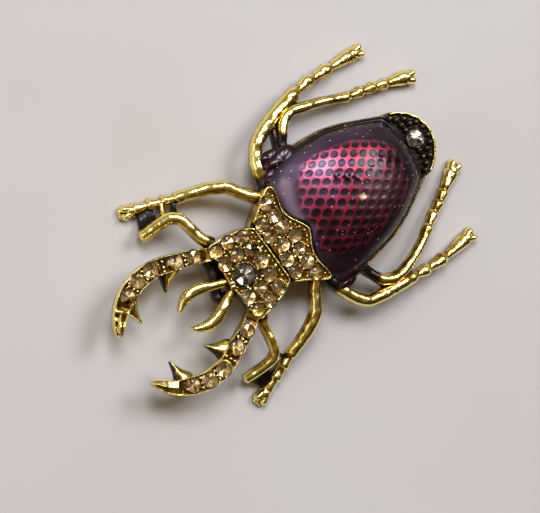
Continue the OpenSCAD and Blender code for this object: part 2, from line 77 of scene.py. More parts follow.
@dataclass
class Skin:
    """A surface in millimetres with its faces, its masks and the finish numbers of its triangles."""

    points: Array
    quads: Array
    tris: Array
    masks: dict[str, Array] = field(default_factory=dict)
    tri_finish: Array | int = 0
    face_masks: dict[str, Array] = field(default_factory=dict)

    def outward(self) -> "Skin":
        """Turns every face round if the signed volume is negative.

        Returns:
            The same skin.
        """
        tris = np.vstack([self.quads[:, [0, 1, 2]], self.quads[:, [0, 2, 3]], self.tris])
        a, b, c = (self.points[tris[:, k]] for k in range(3))
        if np.einsum("ij,ij->i", a, np.cross(b, c)).sum() < 0:
            self.quads = self.quads[:, ::-1]
            self.tris = self.tris[:, ::-1]
        return self

    @staticmethod
    def joined(skins: Sequence["Skin"]) -> "Skin":
        """Joins skins that have one finish.

        Args:
            skins: skins that carry the same point masks.

        Returns:
            One skin that holds all of them.
        """
        starts = np.cumsum([0] + [len(s.points) for s in skins[:-1]])
        return Skin(
            np.vstack([s.points for s in skins]),
            np.vstack([s.quads + k for s, k in zip(skins, starts)]),
            np.vstack([s.tris + k for s, k in zip(skins, starts)]),
            {n: np.concatenate([s.masks[n] for s in skins]) for n in skins[0].masks})


def smoothstep(low: float, high: float, value: Array) -> Array:
    """Zero below low, one above high and an S-shaped rise between them."""
    t = np.clip((value - low) / (high - low), 0.0, 1.0)
    return t * t * (3.0 - 2.0 * t)


def falling(low: float, high: float, value: Array) -> Array:
    """One below low and zero above high."""
    return 1 - smoothstep(low, high, value)


def hill(plan: Array, x: float, y: float, wide: float, long: float) -> Array:
    """e to the minus of dx squared plus dy squared, each as a share of its own spread."""
    return np.exp(-((plan[..., 0] - x) / wide) ** 2 - ((plan[..., 1] - y) / long) ** 2)


def unit(vectors: Array) -> Array:
    """Vectors divided by their lengths."""
    return vectors / np.linalg.norm(vectors, axis=-1, keepdims=True)


def travelled(points: Array) -> Array:
    """How far along its line each point lies."""
    return np.concatenate([[0], np.cumsum(np.linalg.norm(np.diff(points, axis=0), axis=1))])


def at_height(flat: Array, height: Array | float) -> Array:
    """Points of x and y with a height as their z."""
    return np.concatenate([flat, np.broadcast_to(height, flat.shape[:-1])[..., None]], -1)


def outward_ways(line: Array, middle: Array) -> Array:
    """Directions square to a closed outline.

    Args:
        line: x and y of its points.
        middle: a point inside it.

    Returns:
        A unit vector for each point, pointing out.
    """
    ahead = np.roll(line, -1, 0) - np.roll(line, 1, 0)
    out = unit(np.stack([ahead[:, 1], -ahead[:, 0]], 1))
    return out * np.sign(np.einsum("ij,ij->i", out, line - middle).sum())


def blurred(values: Array, sigma: float, closed: bool) -> Array:
    """Gaussian average of the rows of values.

    Args:
        values: rows of numbers at even steps along a line.
        sigma: width of the average, in steps.
        closed: whether the line runs round into its start.

    Returns:
        Rows of the same shape; an open line keeps its two ends in place.
    """
    least = 0.05
    if sigma < least:
        return values
    reach = int(min(max(1, round(3 * sigma)), len(values) - 1))
    weight = np.exp(-0.5 * (np.arange(-reach, reach + 1) / sigma) ** 2)
    weight /= weight.sum()
    if closed:
        padded = np.vstack([values[-reach:], values, values[:reach]])
    else:
        head = 2 * values[:1] - values[reach:0:-1]
        tail = 2 * values[-1:] - values[-2:-reach - 2:-1]
        padded = np.vstack([head, values, tail])
    return np.stack([np.convolve(c, weight, mode="valid") for c in padded.T], axis=1)


def closed_line(corners: Array, count: int, soft: float) -> Array:
    """Closed outline through corners, evenly stepped, its corners rounded.

    Args:
        corners: the corners, one row each.
        count: how many points the outline gets.
        soft: how far along the outline a corner is rounded, in millimetres.

    Returns:
        The outline's points, one row each.
    """
    ring = np.vstack([corners, corners[:1]])
    along = travelled(ring)
    steps = np.linspace(0, along[-1], count, endpoint=False)
    line = np.stack([np.interp(steps, along, c) for c in ring.T], axis=1)
    return blurred(line, soft * count / along[-1], True)


def open_line(rows: Array, step: float, soft: float, crisp: float) -> Array:
    """Rows of x, y, z and sizes at even steps along their own path.

    Args:
        rows: x, y, z and then any sizes, one row for each section.
        step: distance between the returned rows, in millimetres.
        soft: rounding of the path's bends, in millimetres.
        crisp: rounding of the changes in size, in millimetres.

    Returns:
        Rows of the same columns, eight or more of them.
    """
    along = travelled(rows[:, :3])
    steps = np.linspace(0, along[-1], max(8, int(along[-1] / step)))
    line = np.stack([np.interp(steps, along, c) for c in rows.T], axis=1)
    return np.hstack([blurred(line[:, :3], soft / step, False), blurred(line[:, 3:], crisp / step, False)])


def grid_quads(rows: int, cols: int) -> Array:
    """Quads of a grid whose columns run round into each other.

    Args:
        rows: how many rings the grid has.
        cols: points round each ring.

    Returns:
        Four point numbers for each quad.
    """
    i, j = np.meshgrid(np.arange(rows - 1), np.arange(cols), indexing="ij")
    k = (j + 1) % cols
    return np.stack([i * cols + j, i * cols + k, (i + 1) * cols + k, (i + 1) * cols + j], -1).reshape(-1, 4)


def closed_tube(grid: Array, masks: dict[str, Array]) -> Skin:
    """Closes a tube of rings with a pole at the middle of its first and last ring.

    Args:
        grid: rings of points, shaped (rings, points round, 3).
        masks: one number for each grid point, shaped (rings, points round).

    Returns:
        The closed skin, its faces pointing out.
    """
    rows, cols = grid.shape[:2]
    points = np.vstack([grid.reshape(-1, 3), grid[0].mean(0), grid[-1].mean(0)])
    j = np.arange(cols)
    k = (j + 1) % cols
    last = (rows - 1) * cols
    first_fan = np.stack([k, j, np.full(cols, rows * cols)], 1)
    last_fan = np.stack([last + j, last + k, np.full(cols, rows * cols + 1)], 1)
    full = {n: np.concatenate([m.ravel(), [m[0].mean(), m[-1].mean()]]) for n, m in masks.items()}
    return Skin(points, grid_quads(rows, cols), np.vstack([first_fan, last_fan]), full).outward()


def copied(faces: Array, copies: int, points: int) -> Array:
    """Faces of a shape's copies, where points is how many points each copy has."""
    return (faces[None] + (np.arange(copies) * points)[:, None, None]).reshape(-1, faces.shape[1])


def dome_bead(at: Array, radius: Array | float, wear: float, tip: float,
              rounds: int = 8, rings: int = 4) -> Skin:
    """Round-topped beads of metal as one skin: rings of a sphere down past its middle.

    Args:
        at: bead centres, one row each.
        radius: radius of each bead, or of all, in millimetres.
        wear: the polish of the beads' sides.
        tip: the polish of their tops.
        rounds: points round a bead.
        rings: rings of a bead below its top.

    Returns:
        The beads with their mask "wear".
    """
    first, last, polished = 0.35, 2.2, 0.5
    turn = np.linspace(0, 2 * np.pi, rounds, endpoint=False)
    fall = np.linspace(first, last, rings)[:, None]
    ball = np.stack([np.sin(fall) * np.cos(turn), np.sin(fall) * np.sin(turn), np.cos(fall) + 0 * turn], -1)
    one = closed_tube(ball, {"wear": wear + (tip - wear) * (fall < polished) + 0 * turn})
    size = np.broadcast_to(radius, len(at))[:, None, None]
    count = len(one.points)
    return Skin(
        (one.points[None] * size + at[:, None]).reshape(-1, 3), copied(one.quads, len(at), count),
        copied(one.tris, len(at), count), {"wear": np.tile(one.masks["wear"], len(at))})


def make_piece(name: str, skin: Skin, finishes: Sequence[bpy.types.Material],
               replaces: Sequence[str], smooth: bool = True) -> None:
    """Puts a skin into a mesh object that rides on the brooch.

    Args:
        name: the piece's plain name.
        skin: its surface in millimetres.
        finishes: materials, in the order of the skin's finish numbers.
        replaces: the solids that the piece stands for.
        smooth: whether its faces are shaded smooth.
    """
    mesh = bpy.data.meshes.new(name)
    quads, tris = skin.quads, skin.tris
    mesh.vertices.add(len(skin.points))
    mesh.vertices.foreach_set("co", (skin.points * MM).astype(np.float32).ravel())
    loops = np.concatenate([quads.ravel(), tris.ravel()]).astype(np.int32)
    mesh.loops.add(len(loops))
    mesh.loops.foreach_set("vertex_index", loops)
    starts = np.concatenate([np.arange(len(quads)) * 4, len(quads) * 4 + np.arange(len(tris)) * 3])
    mesh.polygons.add(len(starts))
    mesh.polygons.foreach_set("loop_start", starts.astype(np.int32))
    finish = np.zeros(len(starts), np.int32)
    finish[len(quads):] = skin.tri_finish
    mesh.polygons.foreach_set("material_index", finish)
    mesh.polygons.foreach_set("use_smooth", np.full(len(starts), smooth))
    for domain, masks in (("POINT", skin.masks), ("FACE", skin.face_masks)):
        for mask, values in masks.items():
            kind, entry = ("FLOAT", "value") if values.ndim == 1 else ("FLOAT_VECTOR", "vector")
            layer = mesh.attributes.new(mask, kind, domain)
            layer.data.foreach_set(entry, values.astype(np.float32).ravel())
    for material in finishes:
        mesh.materials.append(material)
    mesh.update()
    mesh.validate()
    piece = bpy.data.objects.new(name, mesh)
    bpy.context.scene.collection.objects.link(piece)
    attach(piece, ROOT)
    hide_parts(*replaces)
    LOG.info("%s: %d faces", name, len(starts))


# Finishes


def linear(hex_colour: str) -> tuple[float, float, float, float]:
    """An sRGB hex colour as a linear one.

    Args:
        hex_colour: such as "#C9982B".

    Returns:
        Linear red, green and blue, and one.
    """
    part = np.array([int(hex_colour[k:k + 2], 16) for k in (1, 3, 5)]) / 255
    value = np.where(part <= 0.04045, part / 12.92, ((part + 0.055) / 1.055) ** 2.4)
    return (*value.tolist(), 1.0)


def add_node(tree: bpy.types.NodeTree, kind: str, settings: dict[str | int, Any] | None = None,
             links: dict[str | int, Any] | None = None) -> bpy.types.Node:
    """Adds a node with its settings and links.

    Inputs 1 to 4 of a MapRange are the lowest and the highest value that it
    reads and then the two that it gives. A Mix of colours takes its share at
    0 and its colours at 6 and 7, and gives output 2.

    Args:
        tree: the node tree.
        kind: the node's type name without "ShaderNode".
        settings: properties by name, inputs by name or number, and a ramp's Stops by "stops".
        links: input name or number to the output that feeds it, or to the node whose first output does.

    Returns:
        The node.
    """
    node = tree.nodes.new("ShaderNode" + kind)
    for key, value in (settings or {}).items():
        if key == "stops":
            elements = node.color_ramp.elements
            while len(elements) < len(value):
                elements.new(0.5)
            for element, (place, colour) in zip(elements, value):
                element.position = place
                element.color = linear(colour)
        elif isinstance(key, int) or (key in node.inputs and not hasattr(type(node), key.lower())):
            node.inputs[key].default_value = value
        else:
            setattr(node, key, value)
    for key, source in (links or {}).items():
        output = source.outputs[0] if isinstance(source, bpy.types.Node) else source
        tree.links.new(output, node.inputs[key])
    return node


@dataclass(frozen=True)
class Finish:
    """A material that is one shader."""

    name: str

    def build(self) -> bpy.types.Material:
        """Makes the material.

        Returns:
            The material, with the finish's shader at its output.
        """
        material = bpy.data.materials.new(self.name)
        material.use_nodes = True
        material.node_tree.nodes.clear()
        add = partial(add_node, material.node_tree)
        add("OutputMaterial", links={"Surface": self.shader(add)})
        return material

    def shader(self, add: Add) -> bpy.types.Node:
        """Makes the shader; each finish has its own.

        Args:
            add: add_node for the material's tree.

        Returns:
            The shader's node.
        """
        raise NotImplementedError


# a normal stored with the piece, turned with it into the world
TO_WORLD = {"vector_type": "NORMAL", "convert_from": "OBJECT", "convert_to": "WORLD"}


@dataclass(frozen=True)
class AntiqueGold(Finish):
    """Gold plate over a zinc casting, dipped black and polished back by hand.

    High places are bright yellow gold, low ones keep a brown-black patina, and
    the skin has the slight unevenness of a cast piece.
    """

    name: str = "antique gold plate over cast zinc"
    plating: Stops = ((0.08, "#1A1310"), (0.28, "#7A541C"), (0.55, "#D2A640"), (0.85, "#FDEE98"))
    wave_mm: float = 1.1
    grain_mm: float = 0.28
    grain_share: float = 0.3
    bump_mm: float = 0.13
    bump: float = 0.75
    crevice_mm: float = 0.9
    rough_bright: float = 0.2
    rough_patina: float = 0.19

    def shader(self, add: Add) -> bpy.types.Node:
        """Makes the gold, which reads the point mask "wear".

        Args:
            add: add_node for the material's tree.

        Returns:
            The shader's node.
        """
        place = {"Vector": add("TexCoord").outputs["Object"]}
        wave = add("TexNoise", {"Scale": 1 / (self.wave_mm * MM), "Detail": 3.0}, place)
        grain = add("TexNoise", {"Scale": 1 / (self.grain_mm * MM), "Detail": 2.0}, place)
        wear = add("Attribute", {"attribute_name": "wear"}).outputs["Fac"]
        crevice = add("AmbientOcclusion", {"samples": 8, "Distance": self.crevice_mm * MM}).outputs["AO"]
        open_sky = add("MapRange", {1: 0.25, 2: 0.8, 3: 0.12, 4: 1.0}, {"Value": crevice})
        uneven = add("MapRange", {1: 0.3, 2: 0.7, 3: -0.26, 4: 0.14}, {"Value": wave})
        worn = add("Math", {"operation": "ADD"}, {0: wear, 1: uneven})
        polish = add("Math", {"operation": "MULTIPLY", "use_clamp": True}, {0: worn, 1: open_sky})
        colour = add("ValToRGB", {"stops": self.plating}, {0: polish})
        metal = add("MapRange", {1: 0.05, 2: 0.3, 3: 0.25, 4: 1.0}, {"Value": polish})
        rough = add("MapRange", {1: 0.1, 2: 0.7, 3: self.rough_patina, 4: self.rough_bright},
                    {"Value": polish})
        relief = add("Math", {"operation": "MULTIPLY_ADD", 1: self.grain_share}, {0: grain, 2: wave})
        bump = add("Bump", {"Strength": self.bump, "Distance": self.bump_mm * MM}, {"Height": relief})
        return add("BsdfPrincipled", links={
            "Base Color": colour, "Metallic": metal, "Roughness": rough, "Normal": bump})


@dataclass(frozen=True)
class WineEnamel(Finish):
    """Purple translucent enamel flooded over a dimpled foil and left glossy.

    The foil's ridges shine pink through thin enamel, the dimples and the deep edge are dark, and a clear even
    gloss lies over all of it. Painted light makes every colour lighter on the lit right front and darker away
    from it.
    """

    name: str = "translucent purple enamel over dimpled foil"
    # each ramp runs from painted shade at 0 to painted light at 1; the shoulder's top stop is a painted lilac
    # sheen and the cells' top a painted grey sheen
    ridge: Stops = (
        (0.04, "#520F20"), (0.2, "#861E38"), (0.4, "#AE3446"), (0.62, "#C64C70"), (1.0, "#D2698C"))
    cell: Stops = ((0.05, "#1C0612"), (0.45, "#33142B"), (1.0, "#5C3C58"))
    shoulder: Stops = ((0.06, "#22081A"), (0.3, "#33203A"), (0.7, "#4A3450"), (0.95, "#8A7488"))
    pool: str = "#160912"
    # specks of flake in the enamel, their sparkle painted on as white glints
    flake_glint: str = "#FFE9F0"
    torn: str = "#30051A"
    greyish_haze: str = "#71515A"
    leaf: str = "#CDA482"
    cloud_mm: float = 2.6
    speck_mm: float = 0.95
    coat: float = 0.3

    def shader(self, add: Add) -> bpy.types.Node:
        """Makes the enamel, which reads the masks "net", "depth", "lit", "marks" and "gloss".

        Args:
            add: add_node for the material's tree.

        Returns:
            The shader's node.
        """
        place = {"Vector": add("TexCoord").outputs["Object"]}
        masks = {n: add("Attribute", {"attribute_name": n}).outputs for n in (
            "net", "depth", "lit", "marks", "gloss")}
        net, depth, lit = (masks[n]["Fac"] for n in ("net", "depth", "lit"))
        hole, haze, fleck = add("SeparateXYZ", links={0: masks["marks"]["Vector"]}).outputs
        cloud = add("TexNoise", {"Scale": 1 / (self.cloud_mm * MM), "Detail": 3.0}, place)
        drift = add("MapRange", {1: 0.3, 2: 0.7, 3: -0.14, 4: 0.14}, {"Value": cloud})
        # random cloud plus the painted light: the ramps below run from painted shade to painted light with
        # this share
        cloud_and_light = add("Math", {"operation": "ADD", "use_clamp": True}, {0: drift, 1: lit})
        ridge, cell, shoulder = (
            add("ValToRGB", {"stops": stops}, {0: cloud_and_light}) for stops in (self.ridge, self.cell, self.shoulder))
        pooled = add("MapRange", {1: 0.02, 2: 0.3}, {"Value": depth})
        inward = add("MapRange", {1: 0.55, 2: 0.95}, {"Value": depth})
        specks = add("TexVoronoi", {"Scale": 1 / (self.speck_mm * MM)}, place)
        spark = add("MapRange", {1: 0.11, 2: 0.06}, {"Value": specks})
        mix: dict[str | int, Any] = {"data_type": "RGBA"}
        ground = add("Mix", mix, {0: net, 6: cell, 7: ridge}).outputs[2]
        edge = add("Mix", mix | {6: linear(self.pool)}, {0: pooled, 7: shoulder}).outputs[2]
        body = add("Mix", mix, {0: inward, 6: edge, 7: ground}).outputs[2]
        for share, colour in (
                (spark, self.flake_glint), (hole, self.torn), (haze, self.greyish_haze), (fleck, self.leaf)):
            body = add("Mix", mix | {7: linear(colour)}, {0: share, 6: body}).outputs[2]
        metal = add("MapRange", {1: 0.5, 2: 1.0, 3: 0.1, 4: 0.6}, {"Value": depth})
        even = add("VectorTransform", TO_WORLD, {0: masks["gloss"]["Vector"]})
        whole = add("Math", {"operation": "SUBTRACT", 0: 1.0, "use_clamp": True}, {1: hole})
        coat = add("Math", {"operation": "MULTIPLY", 0: self.coat}, {1: whole})
        rough = add("MapRange", {3: 0.4, 4: 0.1}, {"Value": hole})
        return add("BsdfPrincipled", {"Coat Roughness": 0.12, "Coat IOR": 1.5}, {
            "Base Color": body, "Metallic": metal, "Coat Weight": coat, "Coat Normal": even,
            "Roughness": rough})


@dataclass(frozen=True)
class CutGlass(Finish):
    """Clear or tinted glass, moulded and cut with flat facets."""

    tint: str
    ior: float = 1.56

    def shader(self, add: Add) -> bpy.types.Node:
        """Makes the glass of a stone's crown with add."""
        return add("BsdfPrincipled", {
            "Base Color": linear(self.tint), "Roughness": 0.0, "IOR": self.ior, "Transmission Weight": 1.0})


@dataclass(frozen=True)
class FoilBack(Finish):
    """Painted silver foil behind a stone, each facet painted brighter or darker as a painted flash of light,
    so that some facets flash and some stay dark.

    A cut stone throws light about inside before it leaves, so each facet of
    foil answers a direction of its own, tilted at random from straight up.
    """

    # from the foil's painted dark facets to its painted flashes of light
    dark: str
    middle: str
    bright: str
    roughness: float = 0.2

    def shader(self, add: Add) -> bpy.types.Node:
        """Makes the foil, which reads the face masks "facet" and "tilt".

        Args:
            add: add_node for the material's tree.

        Returns:
            The shader's node.
        """
        facet = add("Attribute", {"attribute_name": "facet"}).outputs["Fac"]
        tilt = add("Attribute", {"attribute_name": "tilt"}).outputs["Vector"]
        facing = add("VectorTransform", TO_WORLD, {0: tilt})
        colour = add("ValToRGB", {"stops": (
            (0.1, self.dark), (0.45, self.middle), (0.8, self.bright))}, {0: facet})
        return add("BsdfPrincipled", {"Metallic": 0.85, "Roughness": self.roughness},
                   {"Base Color": colour, "Normal": facing})


@dataclass(frozen=True)
class PlatedSteel(Finish):
    """Brushed steel wire and strip with a thin warm plating, as stock pin findings have."""

    name: str = "plated steel finding, brushed"
    colour: str = "#C9BB8E"
    brush_mm: float = 0.15
    brush_along: float = 0.06

    def shader(self, add: Add) -> bpy.types.Node:
        """Makes the steel, brushed along the pin.

        Args:
            add: add_node for the material's tree.

        Returns:
            The shader's node.
        """
        place = {"Vector": add("TexCoord").outputs["Object"]}
        spread = add("Mapping", {"Scale": (1.0, self.brush_along, 1.0)}, place)
        brush = add("TexNoise", {"Scale": 1 / (self.brush_mm * MM), "Detail": 3.0}, {"Vector": spread})
        rough = add("MapRange", {1: 0.3, 2: 0.7, 3: 0.25, 4: 0.42}, {"Value": brush})
        return add("BsdfPrincipled", {"Base Color": linear(self.colour), "Metallic": 1.0},
                   {"Roughness": rough})


@dataclass(frozen=True)
class PaperFloor(Finish):
    """Matt pale paper under the brooch, with a faint unevenness."""

    name: str = "matt pale paper"
    clouds: Stops = ((0.35, "#CDC6BF"), (0.65, "#D0CBC6"))
    cloud_mm: float = 60.0

    def shader(self, add: Add) -> bpy.types.Node:
        """Makes the paper.

        Args:
            add: add_node for the material's tree.

        Returns:
            The shader's node.
        """
        place = {"Vector": add("TexCoord").outputs["Object"]}
        cloud = add("TexNoise", {"Scale": 1 / (self.cloud_mm * MM), "Detail": 2.0}, place)
        colour = add("ValToRGB", {"stops": self.clouds}, {0: cloud})
        return add("BsdfPrincipled", {"Roughness": 0.9, "Specular IOR Level": 0.2}, {"Base Color": colour})


class Gold(Enum):
    """How far each place of the casting is polished back, from black patina to bright gold."""

    PATINA = 0.04
    DULL = 0.42
    SIDE = 0.5
    RIDGE = 1.0


# Casting


@dataclass
class Sizes:
    """The brooch's sizes in millimetres; y runs from the joint of the wing cases to the jaws."""

    head_w: float = 14.2
    head_len: float = 8.0
    head_top: float = 7.3
    jaw_len: float = 19.4
    jaw_reach: float = 9.8
    jaw_w: float = 2.9
    jaw_h: float = 2.6
    feeler_len: float = 9.0
    feeler_w: float = 1.6
    pronotum_w: float = 18.0
    pronotum_len: float = 7.9
    pronotum_top: float = 7.6
    cup_w: float = 23.2
    cup_len: float = 21.6
    flange_top: float = 6.0
    flange_w: float = 1.1
    tail_len: float = 4.4
    tail_w: float = 11.8
    back_z: float = 3.6
    wall: float = 1.4
    dome_rise: float = 4.6
    leg_w: float = 2.0
    leg_h: float = 2.0
    claw_spread: float = 2.5
    claw_len: float = 1.5
    mid_y: float = 0.0
    # the head stone's place along the head
    stone_place: float = 0.64

    def __post_init__(self) -> None:
        """Takes the middle of the length from the frame's head stone."""
        low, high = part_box("head_stone")
        self.mid_y = self.pronotum_len + self.stone_place * self.head_len - (low.y + high.y) / 2 / MM

    @property
    def head_front(self) -> float:
        """Where the head ends and the jaws start."""
        return self.pronotum_len + self.head_len

    def placed(self, skin: Skin) -> Skin:
        """Moves a skin from the joint of the wing cases into the frame."""
        skin.points = skin.points - np.array([0.0, self.mid_y, 0.0])
        return skin


def cast_piece(name: str, skin: Skin, sizes: Sizes, gold: bpy.types.Material) -> None:
    """Makes a piece of the gold casting from a skin that isn't moved into the frame yet."""
    make_piece(name, sizes.placed(skin), [gold], ["casting"])


def mirrored_outline(half: Shares, half_w: float, length: float, y0: float) -> Array:
    """Whole outline from its right half.

    Args:
        half: its points, the first and last on the centre line, as shares of half_w and length.
        half_w: half the width.
        length: the length.
        y0: where the length starts.

    Returns:
        The outline's points, right half first.
    """
    right = np.array(half) * [half_w, length] + [0.0, y0]
    return np.vstack([right, right[-2:0:-1] * [-1.0, 1.0]])


def ridge_section(count: int, base: float, side_power: float, top_power: float) -> Array:
    """Half-round section with upright feet.

    The top is a superellipse standing on walls as tall as base, and the
    underside is flat and a little narrower.

    Args:
        count: points over the top.
        base: height of the walls as a share of the whole height.
        side_power: power of the cosine across.
        top_power: power of the sine upwards.

    Returns:
        Shares of half width and of height, one row for each point.
    """
    turn = np.linspace(0, np.pi, count)
    across = np.sign(np.cos(turn)) * np.abs(np.cos(turn)) ** side_power
    up = base + (1 - base) * np.abs(np.sin(turn)) ** top_power
    foot = np.array([[0.3, 0.0], [0.9, 0.02], [0.97, 0.5 * base]])
    return np.vstack([np.stack([across, up], 1), foot[::-1] * [-1, 1], foot])


def loose_stones(node: str) -> tuple[Array, float]:
    """Finds the loose stones in a solid's node.

    Every point takes the lowest label of its triangles again and again until
    nothing changes, so each stone ends with one label.

    Args:
        node: the node's name.

    Returns:
        The centres of their tops and their mean diameter, in millimetres.
    """
    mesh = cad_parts[node].data
    points = np.zeros(len(mesh.vertices) * 3)
    mesh.vertices.foreach_get("co", points)
    points = points.reshape(-1, 3) / MM
    mesh.calc_loop_triangles()
    tris = np.zeros(len(mesh.loop_triangles) * 3, int)
    mesh.loop_triangles.foreach_get("vertices", tris)
    _, same = np.unique(points.round(4), axis=0, return_inverse=True)
    tris = same.ravel()[tris].reshape(-1, 3)
    label = np.arange(same.max() + 1)
    while True:
        least = label[tris].min(1)
        fresh = label.copy()
        np.minimum.at(fresh, tris.ravel(), np.repeat(least, 3))
        if (fresh == label).all():
            break
        label = fresh
    owner = label[same.ravel()]
    names = np.unique(owner)
    low = np.array([points[owner == n].min(0) for n in names])
    high = np.array([points[owner == n].max(0) for n in names])
    centres = np.concatenate([(low[:, :2] + high[:, :2]) / 2, high[:, 2:]], 1)
    return centres, float((high - low)[:, 0].mean())


@dataclass
class StoneCut:
    """A round brilliant: eight-sided table, star and kite facets, sixteen-sided girdle, pavilion."""

    table: float = 0.52
    star: float = 0.78
    crown: float = 0.2
    girdle: float = 0.04
    pavilion: float = 0.32
    shelf_r: float = 0.37
    shelf_z: float = 0.7
    scatter: float = 0.3
    star_drop: float = 0.42
    # painted shade on the foil's outer facets and painted light round its point
    foil_outer: float = 0.6
    foil_point: float = 0.25

    # weights of a stone's place in the seed of its facets' light
    SEED = (131.0, 17.0, 7.0)

    def skin(self, at: Array, diameter: Array, turn: Array) -> Skin:
        """Cuts a stone at each place.

        Args:
            at: table centres in millimetres, one row for each stone.
            diameter: girdle diameter of each stone.
            turn: how far each stone is turned in its seat, in radians.

        Returns:
            All of them, with the pavilions' facets in the second finish.
        """
        k, belt_k = np.arange(8), np.arange(16)
        eighth, sixteenth = k * np.pi / 4, belt_k * np.pi / 8
        rings = [
            (eighth + np.pi / 8, self.table / 2, 0.0),
            (eighth, self.star / 2, -self.star_drop * (self.crown - self.girdle)),
            (sixteenth, 0.5, self.girdle - self.crown), (sixteenth, 0.5, -self.crown),
            (eighth + np.pi / 8, self.shelf_r, -self.crown - self.shelf_z * self.pavilion),
            (np.zeros(2), 0.0, np.array([0.0, -self.crown - self.pavilion]))]
        points = np.vstack([np.stack([r * np.cos(a), r * np.sin(a), z + 0 * a], 1) for a, r, z in rings])
        table, star, rim, belt, deep = 0, 8, 16, 32, 48
        centre, culet = np.full(8, 56), np.full(8, 57)
        n, odd, even, after, belt_n = (k + 1) % 8, 2 * k + 1, 2 * k, (2 * k + 2) % 16, (belt_k + 1) % 16
        crown = [
            (table + k, table + n, centre), (table + k, star + n, table + n),
            (star + k, rim + even, rim + odd), (star + n, rim + odd, rim + after),
            (star + k, rim + odd, table + k), (table + k, rim + odd, star + n)]
        sides = [(rim + belt_k, belt + belt_k, belt + belt_n), (rim + belt_k, belt + belt_n, rim + belt_n)]
        back = [
            (belt + even, deep + k, belt + odd), (belt + odd, deep + k, belt + after),
            (belt + after, deep + k, deep + n), (deep + k, culet, deep + n)]
        tris = self.facing_out(points, np.vstack([np.stack(f, 1) for f in crown + sides + back]))
        foil = np.arange(len(tris)) >= len(tris) - 8 * len(back)
        x, y, z = points.T
        c, s = np.cos(turn)[:, None], np.sin(turn)[:, None]
        turned = np.stack([x * c - y * s, x * s + y * c, z + 0 * c], -1) * diameter[:, None, None]
        return Skin(
            (turned + at[:, None]).reshape(-1, 3), np.zeros((0, 4), int), copied(tris, len(at), len(points)),
            tri_finish=np.tile(foil, len(at)),
            face_masks=self.flash(len(at), len(tris), int(np.abs(at[0]) @ self.SEED)))

    def flash(self, stones: int, facets: int, seed: int) -> dict[str, Array]:
        """How brightly and which way each facet throws light back, the same on every run.

        The foil's outer facets are painted darker, as painted shade from the seat's wall, and the eight round
        its point are painted lighter, as painted light.

        Args:
            stones: how many stones there are.
            facets: facets of each stone, the 32 of its foil last.
            seed: start of the random draws.

        Returns:
            The face masks "facet" and "tilt".
        """
        luck = np.random.default_rng(seed)
        tilt = luck.normal(0.0, self.scatter, (stones * facets, 3))
        tilt[:, 2] = 1.0
        share = luck.random((stones, facets))
        share[:, -32:-8] *= self.foil_outer
        share[:, -8:] = self.foil_point + (1 - self.foil_point) * share[:, -8:]
        return {"facet": share.ravel(), "tilt": unit(tilt)}

    @staticmethod
    def facing_out(points: Array, tris: Array) -> Array:
        """Turns the facets of a convex stone so that each points away from its middle.

        Args:
            points: the stone's points.
            tris: its facets.

        Returns:
            The facets, turned round where they had to be.
        """
        a, b, c = (points[tris[:, k]] for k in range(3))
        away = np.einsum("ij,ij->i", np.cross(b - a, c - a), (a + b + c) / 3 - points.mean(0))
        return np.where((away < 0)[:, None], tris[:, ::-1], tris)


@dataclass
class Setting:
    """A field of set stones: their places, and the seats, collars and beads that hold them."""

    at: Array
    diameter: Array
    cut: StoneCut = field(default_factory=StoneCut)
    clear: float = 0.04
    collar_w: float = 0.1
    bead_r: float = 0.21

    @staticmethod
    def of_nodes(nodes: Sequence[str], mid_y: float, spread: float = 1.0) -> "Setting":
        """The stones of some solids, placed from the joint of the wing cases.

        Args:
            nodes: names of solids that are each one or more loose stones.
            mid_y: how far the frame lies from that joint.
            spread: the drawn stone's diameter as a share of the solid's.

        Returns:
            Their setting.
        """
        found = [loose_stones(node) for node in nodes]
        at = np.vstack([f[0] for f in found]) + [0.0, mid_y, 0.0]
        return Setting(at, np.concatenate([np.full(len(f[0]), f[1] * spread) for f in found]))

    def plus(self, other: "Setting") -> "Setting":
        """This field and another one as one field."""
        return Setting(np.vstack([self.at, other.at]), np.append(self.diameter, other.diameter))

    def worked(self, flat: Array, top: float) -> tuple[Array, Array, Array]:
        """Depth of the seats below a flat top, and the collars.

        A seat follows the stone's back: its depth is the crown's height plus
        the pavilion's times 1 - (r / R)^3, R being the girdle's radius.

        Args:
            flat: x and y of the top's points.
            top: height of the top.

        Returns:
            Depth at each point, one on the collars with zero away from them,
            and one near any stone with zero further off.
        """
        depth, collar, near = np.zeros((3, *flat.shape[:-1]))
        for spot, size in zip(self.at, self.diameter):
            far = np.linalg.norm(flat - spot[:2], axis=-1)
            edge = size / 2 + self.clear
            share = np.clip(far / edge, 0, 1)
            low = size * (self.cut.crown + self.cut.pavilion * (1 - share ** 3)) + top - spot[2] + self.clear
            depth = np.where(far < edge, np.maximum(depth, low), depth)
            ring = (far - edge - 0.5 * self.collar_w) / (0.6 * self.collar_w)
            collar = np.maximum(collar, np.exp(-ring ** 2))
            near = np.maximum(near, falling(0.75 * size, size, far))
        return depth, collar, near

    def bead_spots(self, top: float, spots_each: int = 6) -> Array:
        """Places of the beads raised between the stones.

        Spots stand round each stone and are kept where they clear every other
        stone and every spot kept before.

        Args:
            top: height of the beads' centres.
            spots_each: spots tried round each stone.

        Returns:
            x, y and z of each bead.
        """
        between, turned = 0.75, 1.9
        kept: list[Array] = []
        for k, (spot, size) in enumerate(zip(self.at, self.diameter)):
            for turn in np.arange(spots_each) * 2 * np.pi / spots_each + turned * k:
                place = spot[:2] + (size / 2 + 0.6 * self.bead_r) * np.array([np.cos(turn), np.sin(turn)])
                away = np.sort(np.linalg.norm(self.at[:, :2] - place, axis=1) - self.diameter / 2)
                beads = min((np.linalg.norm(place - b) for b in kept), default=FAR_OFF)
                if away[:2][-1] < between and away[0] > 0.1 * self.bead_r and beads > 1.9 * self.bead_r:
                    kept.append(place)
        return at_height(np.array(kept), top)


